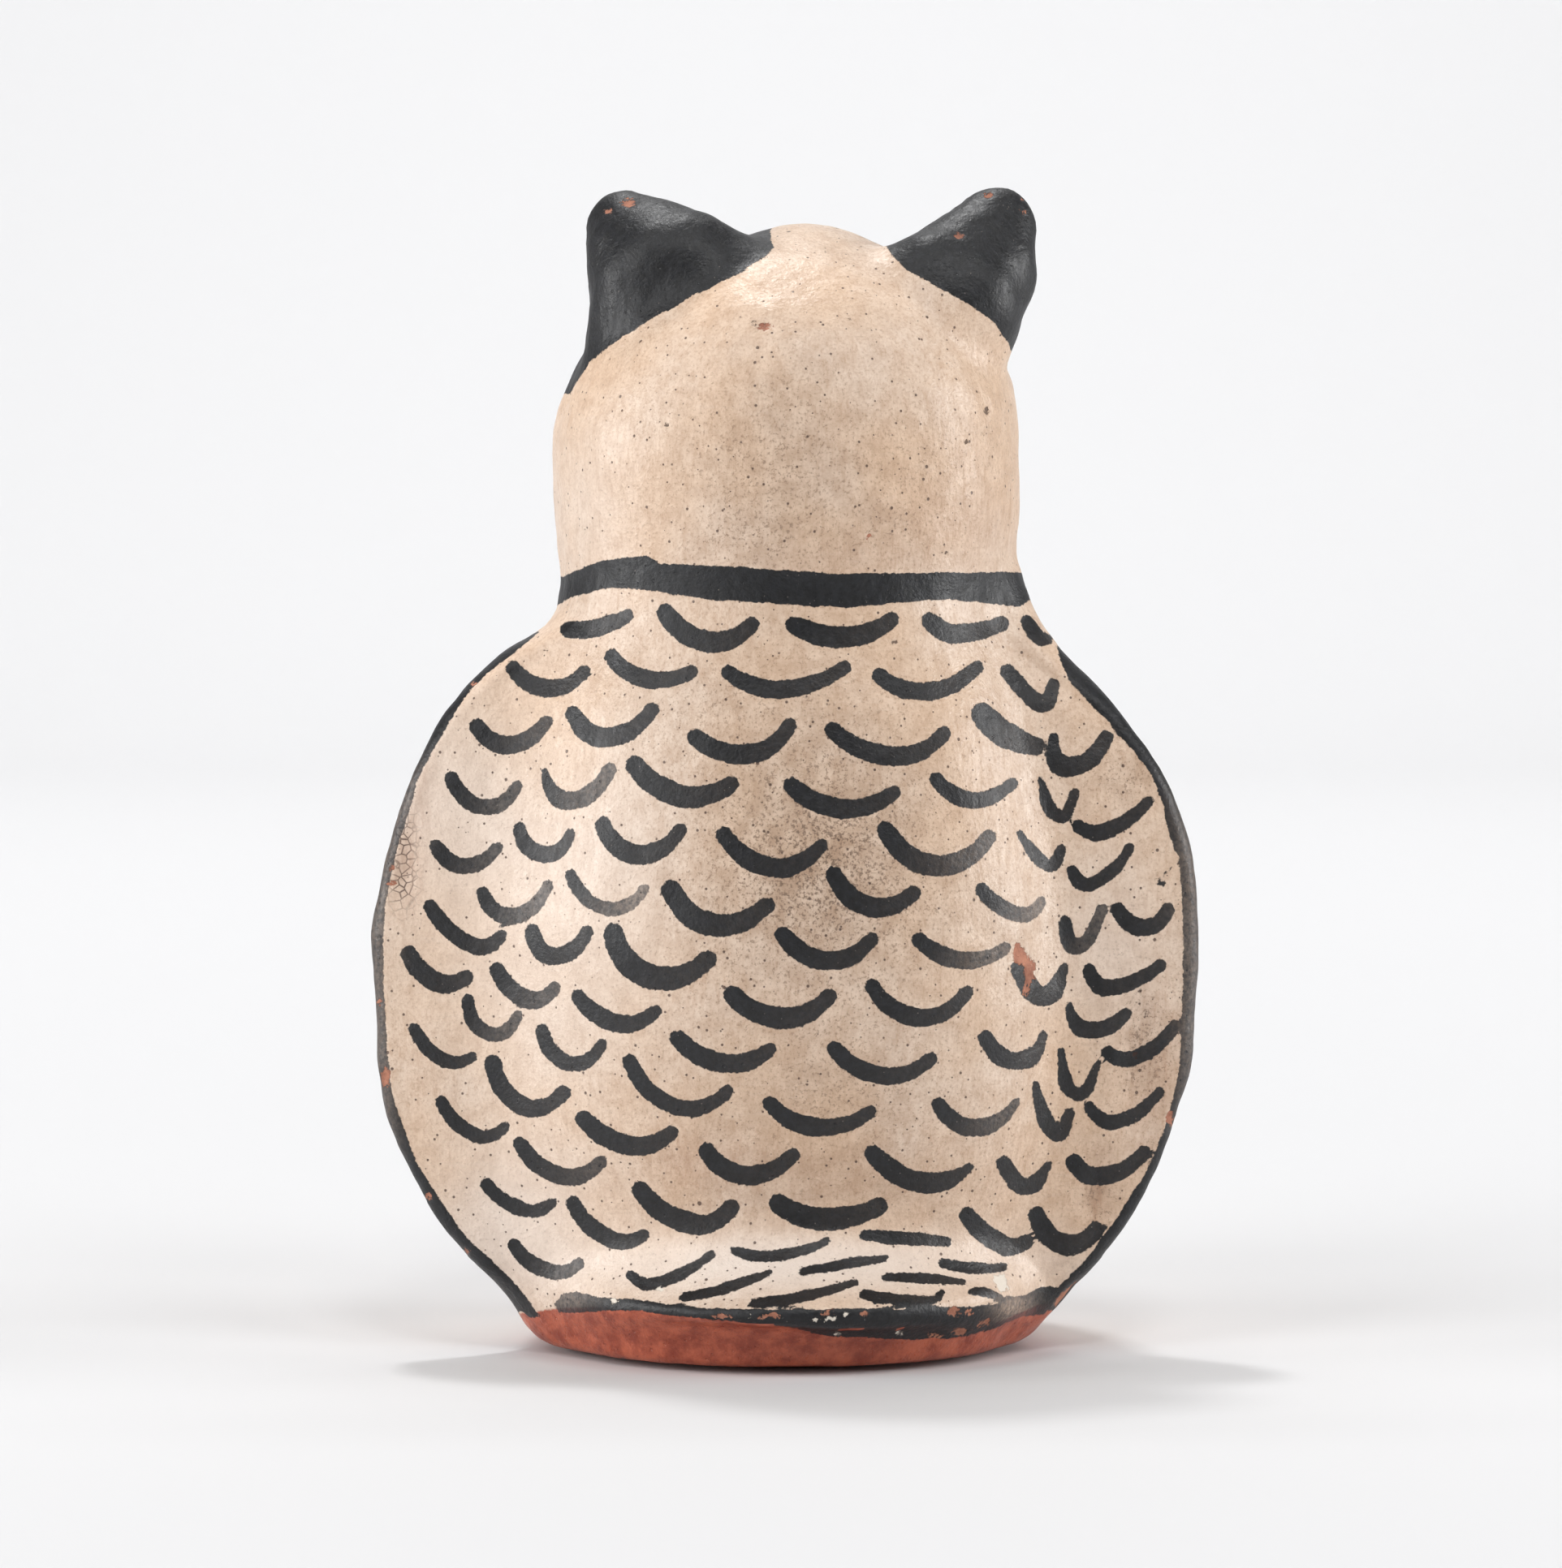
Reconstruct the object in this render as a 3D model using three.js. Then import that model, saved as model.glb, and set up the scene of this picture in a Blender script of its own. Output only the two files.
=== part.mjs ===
// A pueblo pottery owl, hand built from coils of clay and fired in one piece.
//
// Millimetres, +Z up. +X is the owl's right hand side and +Y is the way it faces, so the side
// with the most feathers, its back, looks along -Y. The origin is at the middle of the flat foot.
//
// The clay is described by one function, clay(x, y, z), which is below zero inside the owl and
// above zero outside. Each form (trunk, wings, tail, head, ears, beak, toes) has a function of
// its own, and soft unions join them the way a thumb smears one piece of clay into the next.
// The skin is found by rays that leave a curved sheet inside the figure, the spine.

import * as THREE from 'three';
import { mergeVertices } from 'three/addons/utils/BufferGeometryUtils.js';

// Driving dimensions

// Foot: flat in the middle. At the back and the sides it curls up towards its rim
const FOOT_ROUNDING = 1.8;
const FOOT_LIFT = 1;
const FOOT_LIFT_REACH = [24, 38];
const FOOT_LIFT_DEPTH = [20, 0];

// Trunk: height, half width, depth behind the origin, depth in front of it
const TRUNK = [
  [0, 38, 41, 34],
  [4, 39.8, 41, 36],
  [10, 41.8, 40.6, 39.5],
  [20, 43.5, 37, 43],
  [40, 47, 41, 47],
  [64, 48, 44, 48.5],
  [85, 46, 42.5, 46.5],
  [104, 42, 39, 41.5],
  [114, 38.5, 36.5, 37.5],
  [122, 35.8, 34.8, 34.8],
  [140, 33, 30, 30],
];
const TRUNK_SQUARENESS = 2.25;
const TRUNK_TOP = 142;
const TRUNK_TOP_ROUNDING = 8;

// Wings: height, reach of the left wing, reach of the right wing, both from the middle
const WING_REACH = [
  [0, 34, 35],
  [3, 39.8, 39.8],
  [8, 43.9, 44.6],
  [16, 52, 51.9],
  [25, 58.5, 57.9],
  [38, 64.6, 63.2],
  [46, 66.1, 65.7],
  [54, 66.5, 66.4],
  [68, 67.1, 67],
  [80, 65.2, 66.2],
  [93, 61, 62],
  [103, 55.9, 55.6],
  [110, 50.7, 49],
  [115, 44.6, 44.3],
  [119, 36.5, 41.5],
  [125, 33, 39],
];
const WING_RIM = 2.6;
const WING_ROOT = 12;
const WING_ROOT_OUT = 26;
const LEFT_WING = {
  side: -1,
  column: 1,
  rootBack: -11,
  rimBack: -17,
  swell: 0,
  rootTop: 124,
  top: 120,
  blend: 9,
};
const RIGHT_WING = {
  side: 1,
  column: 2,
  rootBack: -7,
  rimBack: -16,
  swell: 1.6,
  rootTop: 132,
  top: 128,
  blend: 5,
};

// Tail: a lip drawn out of the back, just above the foot
const TAIL_REACH = 50;
const TAIL_HALF_WIDTH = 41;
const TAIL_OFF_CENTRE = 1.5;
const TAIL_ROOT = { out: 33, height: 13, radius: 9.5 };
const TAIL_LIP_HEIGHT = 10.4;
const TAIL_LIP_THIN = 1.4;
const TAIL_LIP_THICK = 2.5;
const TAIL_FRONT_END = -6;

// Head: an egg of clay, leaning a little to the right at the top, and a low crown on it
const HEAD = { height: 145.2, halfWidth: 38.3, behind: 36.5, front: 36, above: 37.4, below: 67.7 };
const HEAD_SQUARENESS = 2.08;
const HEAD_LEAN = 2;
const HEAD_TOP = 186;
const HEAD_BOTTOM = 116;
const CROWN = { place: [3.2, -1, 168.4], radius: 15.6 };

// Ears: each fans out from a pinched tip, from a root in the side of the head to one in its top
const LEFT_EAR = {
  tip: [-26.2, -4, 183.1],
  tipRadius: 5.2,
  sideRoot: [-18.4, -8, 169.3],
  topRoot: [-17.4, -11.5, 172.8],
  rootRadii: [13.4, 13],
  swells: [0.1, 0.5],
};
const RIGHT_EAR = {
  tip: [34.2, -4, 183],
  tipRadius: 5.8,
  sideRoot: [28.8, -8, 168.6],
  topRoot: [25.8, -11.5, 171.4],
  rootRadii: [9, 11.7],
  swells: [1.8, 0],
};
const EAR_CONES = 4;
const EAR_CONE_BLEND = 2;
const EAR_FLATNESS = 0.7;
const EAR_BLEND = 5;

// Beak and toes, small pinches on the front
const BEAK = { root: [0, 29, 149], point: [0, 38.5, 139.5], radii: [7.5, 3.2], narrowness: 0.8 };
const TOES = { out: [13.5, 15.5], forward: [26, 38], height: [9, 6.3], radii: [9.5, 6.5] };

// Spine: its half width by height. It curls back towards the wing rims
const SPINE = [
  [16, 24],
  [30, 40],
  [50, 50],
  [68, 52],
  [85, 46],
  [100, 34],
  [115, 22],
  [130, 17],
  [150, 17],
];
const SPINE_CURL = 0.0045;

// Skin: how finely it is divided, and how the rays fan out from the spine
const COLUMNS_ACROSS = 26;
const COLUMNS_ROUND_EACH_END = 11;
const ROWS_UNDER = 12;
const ROWS_UP = 32;
const ROWS_OVER = 15;
const ROW_CROWDING_UNDER = 1.45;
const ROW_CROWDING_UP = 1.25;
const RAY_SPREAD = THREE.MathUtils.degToRad(55);
const LONGEST_RAY = 100;
const RAY_HALVINGS = 24;
const EVENING_ROUNDS = 3;
const EVENING_SHARE = 0.35;

const CLAY_SLIP = { color: 0xd9bfa8, roughness: 0.55, metalness: 0 };

// Small helpers

function smoothStep(from, to, value) {
  const t = THREE.MathUtils.clamp((value - from) / (to - from), 0, 1);
  return t * t * (3 - 2 * t);
}

function softUnion(a, b, blend) {
  const share = THREE.MathUtils.clamp(0.5 + (0.5 * (b - a)) / blend, 0, 1);
  return b + (a - b) * share - blend * share * (1 - share);
}

function softCut(a, b, blend) {
  return -softUnion(-a, -b, blend);
}

// A smooth curve through one column of a table whose first column is the height
function along(table, column, height) {
  const last = table.length - 1;
  const z = THREE.MathUtils.clamp(height, table[0][0], table[last][0]);
  let i = 0;
  while (i < last - 1 && table[i + 1][0] <= z) i += 1;
  const slope = (k) => {
    const lower = table[Math.max(k - 1, 0)];
    const upper = table[Math.min(k + 1, last)];
    return (upper[column] - lower[column]) / (upper[0] - lower[0]);
  };
  const span = table[i + 1][0] - table[i][0];
  const t = (z - table[i][0]) / span;
  const endWeight = t * t * (3 - 2 * t);
  return (
    table[i][column] * (1 - endWeight) +
    table[i + 1][column] * endWeight +
    span * (slope(i) * t * (1 - t) * (1 - t) - slope(i + 1) * t * t * (1 - t))
  );
}

// Signed distance, near enough, to an oval whose corners get squarer as the power grows
function ovalDistance(offsets, radii, power) {
  let sum = 1e-12;
  let slopes = 0;
  offsets.forEach((offset, i) => {
    const ratio = Math.abs(offset / radii[i]);
    sum += ratio ** power;
    slopes += (ratio ** (power - 1) / radii[i]) ** 2;
  });
  const size = sum ** (1 / power);
  const gradient = Math.sqrt(slopes) * size ** (1 - power) + 1e-9;
  return (size - 1) / gradient;
}

function dot(a, b) {
  return a.reduce((total, value, i) => total + value * b[i], 0);
}

// A round bar from one point to another, its radius changing on the way
function taperedBar(point, start, end, radii, swell = 0) {
  const from = point.map((value, i) => value - start[i]);
  const axis = end.map((value, i) => value - start[i]);
  const t = THREE.MathUtils.clamp(dot(from, axis) / dot(axis, axis), 0, 1);
  const gap = Math.hypot(...from.map((value, i) => value - t * axis[i]));
  return gap - THREE.MathUtils.lerp(...radii, t) - swell * 4 * t * (1 - t);
}

// A tapered bar whose sides leave both its round ends without a corner
function roundCone(point, start, end, radii, flatness, swell) {
  const scale = [1, 1 / flatness, 1];
  const from = point.map((value, i) => (value - start[i]) * scale[i]);
  const axis = end.map((value, i) => (value - start[i]) * scale[i]);
  const length = Math.hypot(...axis);
  const slope = (radii[1] - radii[0]) / length;
  const reach = dot(from, axis) / length;
  const aside = Math.sqrt(Math.max(dot(from, from) - reach ** 2, 0));
  const shift = (aside * slope) / Math.sqrt(1 - slope ** 2);
  const t = THREE.MathUtils.clamp((reach + shift) / length, 0, 1);
  const gap = Math.hypot(...from.map((value, i) => value - t * axis[i]));
  return gap - THREE.MathUtils.lerp(...radii, t) - swell * (4 * t * (1 - t)) ** 2;
}

// The forms

function trunk(x, y, z) {
  const halfWidth = along(TRUNK, 1, z);
  const depth = along(TRUNK, y < 0 ? 2 : 3, z);
  const section = ovalDistance([x, y], [halfWidth, depth], TRUNK_SQUARENESS);
  return softCut(section, z - TRUNK_TOP, TRUNK_TOP_ROUNDING);
}

// A wing is a flange pinched out of the side, thick at the root and thin at the rim
function wing(shape, x, y, z) {
  const rim = WING_RIM + 5 * smoothStep(98, 126, z) + 2.5 * smoothStep(26, 4, z);
  const fullness = smoothStep(shape.rootTop, 92, z) * (0.5 + 0.5 * smoothStep(0, 34, z));
  const root = rim + WING_ROOT * fullness;
  const rimBack = shape.rimBack + 9 * smoothStep(96, 128, z) + 4 * smoothStep(22, 0, z);
  const start = [WING_ROOT_OUT, shape.rootBack];
  const end = [along(WING_REACH, shape.column, z) - rim, rimBack];
  const flange = taperedBar([shape.side * x, y], start, end, [root, rim], shape.swell);
  return softCut(flange, z - shape.top, 4);
}

function tail(x, y, z) {
  const across = ((x - TAIL_OFF_CENTRE) * TAIL_REACH) / TAIL_HALF_WIDTH;
  const out = Math.hypot(across, y);
  const lip = THREE.MathUtils.lerp(TAIL_LIP_THIN, TAIL_LIP_THICK, smoothStep(-18, 12, x));
  const start = [TAIL_ROOT.out, TAIL_ROOT.height];
  const end = [TAIL_REACH - lip, TAIL_LIP_HEIGHT];
  const ledge = taperedBar([out, z], start, end, [TAIL_ROOT.radius, lip]);
  return softCut(ledge, y - TAIL_FRONT_END, 8);
}

function head(x, y, z) {
  const lean = HEAD_LEAN * smoothStep(140, HEAD_TOP, z);
  const rise = z - HEAD.height;
  const radii = [
    HEAD.halfWidth,
    y < 0 ? HEAD.behind : HEAD.front,
    rise > 0 ? HEAD.above : HEAD.below,
  ];
  const egg = ovalDistance([x - lean, y, rise], radii, HEAD_SQUARENESS);
  const [crownX, crownY, crownZ] = CROWN.place;
  const crown = Math.hypot(x - crownX, y - crownY, z - crownZ) - CROWN.radius;
  return softCut(softUnion(egg, crown, 3), HEAD_BOTTOM - z, 5);
}

function ear(shape, x, y, z) {
  const { lerp } = THREE.MathUtils;
  const { tip, tipRadius, sideRoot, topRoot, rootRadii, swells } = shape;
  const cones = Array.from({ length: EAR_CONES }, (_, i) => {
    const share = i / (EAR_CONES - 1);
    const root = sideRoot.map((value, axis) => lerp(value, topRoot[axis], share));
    const radii = [tipRadius, lerp(...rootRadii, share)];
    return roundCone([x, y, z], tip, root, radii, EAR_FLATNESS, lerp(...swells, share));
  });
  return cones.reduce((form, cone) => softUnion(form, cone, EAR_CONE_BLEND));
}

function beak(x, y, z) {
  return taperedBar([x / BEAK.narrowness, y, z], BEAK.root, BEAK.point, BEAK.radii);
}

function toes(side, x, y, z) {
  const start = [side * TOES.out[0], TOES.forward[0], TOES.height[0]];
  const end = [side * TOES.out[1], TOES.forward[1], TOES.height[1]];
  return taperedBar([x, y, z], start, end, TOES.radii);
}

function footLift(x, y) {
  const outwards = smoothStep(...FOOT_LIFT_REACH, Math.hypot(x, y));
  return FOOT_LIFT * outwards * smoothStep(...FOOT_LIFT_DEPTH, y);
}

function clay(x, y, z) {
  let form = trunk(x, y, z);
  form = softUnion(form, wing(LEFT_WING, x, y, z), LEFT_WING.blend);
  form = softUnion(form, wing(RIGHT_WING, x, y, z), RIGHT_WING.blend);
  form = softUnion(form, tail(x, y, z), 7);
  form = softUnion(form, head(x, y, z), 3);
  form = softUnion(form, ear(LEFT_EAR, x, y, z), EAR_BLEND);
  form = softUnion(form, ear(RIGHT_EAR, x, y, z), EAR_BLEND);
  form = softUnion(form, beak(x, y, z), 5);
  form = softUnion(form, toes(-1, x, y, z), 6);
  form = softUnion(form, toes(1, x, y, z), 6);
  return softCut(form, footLift(x, y) - z, FOOT_ROUNDING);
}

// The skin

// Each column is a place across the spine and a compass bearing, going round the owl once:
// along the back, round the right wing's rim, along the front and round the left wing's rim
function skinColumns() {
  const columns = [];
  const quarterTurn = Math.PI / 2;
  for (const side of [1, -1]) {
    for (let i = 0; i < COLUMNS_ACROSS; i += 1) {
      const across = side * ((2 * i) / COLUMNS_ACROSS - 1);
      columns.push({ across, bearing: side * (across * RAY_SPREAD - quarterTurn) });
    }
    for (let i = 0; i < COLUMNS_ROUND_EACH_END; i += 1) {
      const turn = (2 * i) / COLUMNS_ROUND_EACH_END - 1;
      const middle = side > 0 ? 0 : Math.PI;
      columns.push({ across: side, bearing: middle + turn * (quarterTurn - RAY_SPREAD) });
    }
  }
  return columns;
}

// Each row is a height on the spine and an elevation, going from the foot to the crown.
// The rows crowd together near the tail's lip
function skinRows() {
  const rows = [];
  const low = SPINE[0][0];
  const high = SPINE[SPINE.length - 1][0];
  const quarterTurn = Math.PI / 2;
  for (let i = 0; i < ROWS_UNDER; i += 1) {
    const dip = (1 - i / ROWS_UNDER) ** ROW_CROWDING_UNDER;
    rows.push({ height: low, elevation: -quarterTurn * dip });
  }
  for (let i = 0; i < ROWS_UP; i += 1) {
    rows.push({ height: low + (high - low) * (i / ROWS_UP) ** ROW_CROWDING_UP, elevation: 0 });
  }
  for (let i = 0; i <= ROWS_OVER; i += 1) {
    rows.push({ height: high, elevation: (quarterTurn * i) / ROWS_OVER });
  }
  return rows;
}

// Where a ray from the spine leaves the clay. It leaves it only once, so halving finds the place
function skinPoint(row, column) {
  const x = along(SPINE, 1, row.height) * column.across;
  const start = new THREE.Vector3(x, -SPINE_CURL * x * x, row.height);
  const level = Math.cos(row.elevation);
  const direction = new THREE.Vector3(
    level * Math.cos(column.bearing),
    level * Math.sin(column.bearing),
    Math.sin(row.elevation),
  );
  const at = (reach) => start.clone().addScaledVector(direction, reach);
  const isInside = (reach) => clay(...at(reach).toArray()) < 0;
  let inside = 0;
  let outside = LONGEST_RAY;
  for (let i = 0; i < RAY_HALVINGS; i += 1) {
    const middle = (inside + outside) / 2;
    if (isInside(middle)) inside = middle;
    else outside = middle;
  }
  return at(inside);
}

// Moves a point straight to the clay's surface
function onSkin(point) {
  const nudge = 0.05;
  const [x, y, z] = point.toArray();
  const here = clay(x, y, z);
  const slope = new THREE.Vector3(
    clay(x + nudge, y, z) - here,
    clay(x, y + nudge, z) - here,
    clay(x, y, z + nudge) - here,
  ).divideScalar(nudge);
  return point.clone().addScaledVector(slope, -here / Math.max(slope.lengthSq(), 0.04));
}

// Draws each point towards the middle of its four neighbours, along the surface, so that the
// skin's squares are even. The flat foot and the two end rows stay where they are
function evened(grid) {
  const wide = grid[0].length;
  return grid.map((row, r) => row.map((point, c) => {
    if (r === 0 || r === grid.length - 1 || point.z < 1e-3) return point;
    const middle = new THREE.Vector3()
      .add(grid[r - 1][c])
      .add(grid[r + 1][c])
      .add(row[(c + 1) % wide])
      .add(row[(c + wide - 1) % wide])
      .divideScalar(4);
    return onSkin(onSkin(point.clone().lerp(middle, EVENING_SHARE)));
  }));
}

function skinGrid() {
  const columns = skinColumns();
  let grid = skinRows().map((row) => columns.map((column) => skinPoint(row, column)));
  for (let i = 0; i < EVENING_ROUNDS; i += 1) grid = evened(grid);
  grid.flat().forEach((point) => point.setZ(point.z < 1e-3 ? 0 : point.z));
  return grid;
}

function owlSkin() {
  const grid = skinGrid();
  const wide = grid[0].length;
  const indices = [];
  for (let r = 0; r < grid.length - 1; r += 1) {
    for (let c = 0; c < wide; c += 1) {
      const next = (c + 1) % wide;
      const below = r * wide;
      const above = below + wide;
      indices.push(below + c, below + next, above + next);
      indices.push(below + c, above + next, above + c);
    }
  }
  const positions = grid.flat().flatMap((point) => point.toArray());
  const geometry = new THREE.BufferGeometry();
  geometry.setAttribute('position', new THREE.Float32BufferAttribute(positions, 3));
  geometry.setIndex(indices);
  return withoutFlatTriangles(mergeVertices(geometry, 1e-3));
}

// The first and last rows close on a line, where some corners of the squares are one point
function withoutFlatTriangles(geometry) {
  const index = geometry.getIndex().array;
  const kept = [];
  for (let i = 0; i < index.length; i += 3) {
    const [a, b, c] = index.slice(i, i + 3);
    if (a !== b && b !== c && c !== a) kept.push(a, b, c);
  }
  geometry.setIndex(kept);
  geometry.computeVertexNormals();
  return geometry;
}

const owl = new THREE.Mesh(owlSkin(), new THREE.MeshStandardMaterial(CLAY_SLIP));
owl.name = 'owl_figure';

const group = new THREE.Group();
group.add(owl);

export default group;
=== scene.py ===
"""A pueblo pottery owl seen from behind: its fine clay skin, its slips and its painted feathers.

Shapes are in millimetres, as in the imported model: +Z is up, +X is the owl's right and +Y is the
way it faces. They become metres where the mesh is made. Paint on the back is placed by the
photograph's pixels, and paint on the hidden front by the same pixels as if seen through the owl.
The front's own strokes are placed by pixels measured round the owl from the middle of its front.
"""

import math

import bpy
import numpy as np
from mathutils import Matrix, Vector


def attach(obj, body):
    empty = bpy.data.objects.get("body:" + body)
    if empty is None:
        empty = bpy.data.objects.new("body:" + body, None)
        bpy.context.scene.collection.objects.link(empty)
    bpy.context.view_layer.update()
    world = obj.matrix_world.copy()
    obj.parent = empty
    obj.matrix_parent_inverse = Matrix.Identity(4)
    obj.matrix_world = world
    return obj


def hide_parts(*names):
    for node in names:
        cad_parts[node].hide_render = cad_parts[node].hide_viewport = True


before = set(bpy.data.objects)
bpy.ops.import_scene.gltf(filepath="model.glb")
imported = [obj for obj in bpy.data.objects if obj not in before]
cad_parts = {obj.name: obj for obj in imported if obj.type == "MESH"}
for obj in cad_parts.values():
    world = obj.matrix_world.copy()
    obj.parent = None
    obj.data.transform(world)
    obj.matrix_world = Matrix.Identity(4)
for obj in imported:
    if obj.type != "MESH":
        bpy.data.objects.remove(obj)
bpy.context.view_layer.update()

MM = 0.001
BODY = "root"
CAD_NODE = "owl_figure"

# The photograph and its camera, in pixels and millimetres

PHOTO_SIZE = (1924, 1932)
EYE = np.array([-0.8, -1000, 141])
EYE_PITCH = math.atan(0.049)
FOCAL_LENGTH = 7479.4
SENSOR = 36
PIXEL = 0.1337

# Trunk: height, half width, depth behind the origin, depth in front of it

TRUNK = np.array([
    (0, 38, 41, 34),
    (4, 39.8, 41, 36),
    (10, 41.8, 40.6, 39.5),
    (20, 43.5, 37, 43),
    (40, 47, 41, 47),
    (64, 48, 44, 48.5),
    (85, 46, 42.5, 46.5),
    (104, 42, 39, 41.5),
    (114, 38.5, 36.5, 37.5),
    (122, 35.8, 34.8, 34.8),
    (140, 33, 30, 30),
], float)
TRUNK_SQUARENESS = 2.25
TRUNK_TOP = 142
TRUNK_TOP_ROUNDING = 8
FOOT_ROUNDING = 1.8
FOOT_LIFT = 1
FOOT_LIFT_REACH = (24, 38)
FOOT_LIFT_DEPTH = (20, 0)

# Wings: height, reach of the left wing, reach of the right wing, both from the middle

WING_REACH = np.array([
    (0, 34, 35),
    (3, 39.8, 39.8),
    (8, 43.9, 44.6),
    (16, 52, 51.9),
    (25, 58.5, 57.9),
    (38, 64.6, 63.2),
    (46, 66.1, 65.7),
    (54, 66.5, 66.4),
    (68, 67.1, 67),
    (80, 65.2, 66.2),
    (93, 61, 62),
    (103, 55.9, 55.6),
    (110, 50.7, 49),
    (115, 44.6, 44.3),
    (119, 36.5, 41.5),
    (125, 33, 39),
], float)
WING_RIM = 2.6
WING_ROOT = 12
WING_ROOT_OUT = 26
LEFT_WING = dict(side=-1, column=1, root_back=-11, rim_back=-17, swell=0, root_top=124, top=120, blend=9)
RIGHT_WING = dict(side=1, column=2, root_back=-7, rim_back=-16, swell=1.6, root_top=132, top=128, blend=5)

# Tail, head, ears, beak and toes

TAIL_REACH = 50
TAIL_HALF_WIDTH = 41
TAIL_OFF_CENTRE = 1.5
TAIL_ROOT = dict(out=33, height=13, radius=9.5)
TAIL_LIP_HEIGHT = 10.4
TAIL_LIP_THIN = 1.4
TAIL_LIP_THICK = 2.5
TAIL_FRONT_END = -6
HEAD = dict(height=145.2, half_width=38.3, behind=36.5, front=36, above=37.4, below=67.7)
HEAD_SQUARENESS = 2.08
HEAD_LEAN = 2
HEAD_TOP = 186
HEAD_BOTTOM = 116
CROWN = dict(place=(3.2, -1, 168.4), radius=15.6)
LEFT_EAR = dict(
    tip=(-26.2, -4, 183.1),
    tip_radius=5.2,
    side_root=(-18.4, -8, 169.3),
    top_root=(-17.4, -11.5, 172.8),
    root_radii=(13.4, 13),
    swells=(0.1, 0.5),
)
RIGHT_EAR = dict(
    tip=(34.2, -4, 183),
    tip_radius=5.8,
    side_root=(28.8, -8, 168.6),
    top_root=(25.8, -11.5, 171.4),
    root_radii=(9, 11.7),
    swells=(1.8, 0),
)
EAR_CONES = 4
EAR_CONE_BLEND = 2
EAR_FLATNESS = 0.7
EAR_BLEND = 5
BEAK = dict(root=(0, 29, 149), point=(0, 38.5, 139.5), radii=(7.5, 3.2), narrowness=0.8)
TOES = dict(out=(13.5, 15.5), forward=(26, 38), height=(9, 6.3), radii=(9.5, 6.5))

# The spine that the skin's rays leave from: its half width by height. It curls back at its edges

SPINE = np.array([
    (16, 24), (30, 40), (50, 50), (68, 52), (85, 46), (100, 34), (115, 22), (130, 17), (150, 17),
], float)
SPINE_CURL = 0.0045

# How finely the skin is divided. The back has closer columns, because the paint there is finer

BACK_COLUMNS = 152
FRONT_COLUMNS = 96
RIM_COLUMNS = 45
ROWS_UNDER = 62
ROWS_UP = 156
ROWS_OVER = 72
ROW_CROWDING_UNDER = 1.45
ROW_CROWDING_UP = 1.1
RAY_SPREAD = math.radians(55)
LONGEST_RAY = 100
RAY_HALVINGS = 24
EVENING_ROUNDS = 3
EVENING_SHARE = 0.35

# Feathers on the back, row by row from the neck down: the outer tip of the stroke on the left,
# its lowest edge, its outer tip on the right, and its width, in pixels

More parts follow.
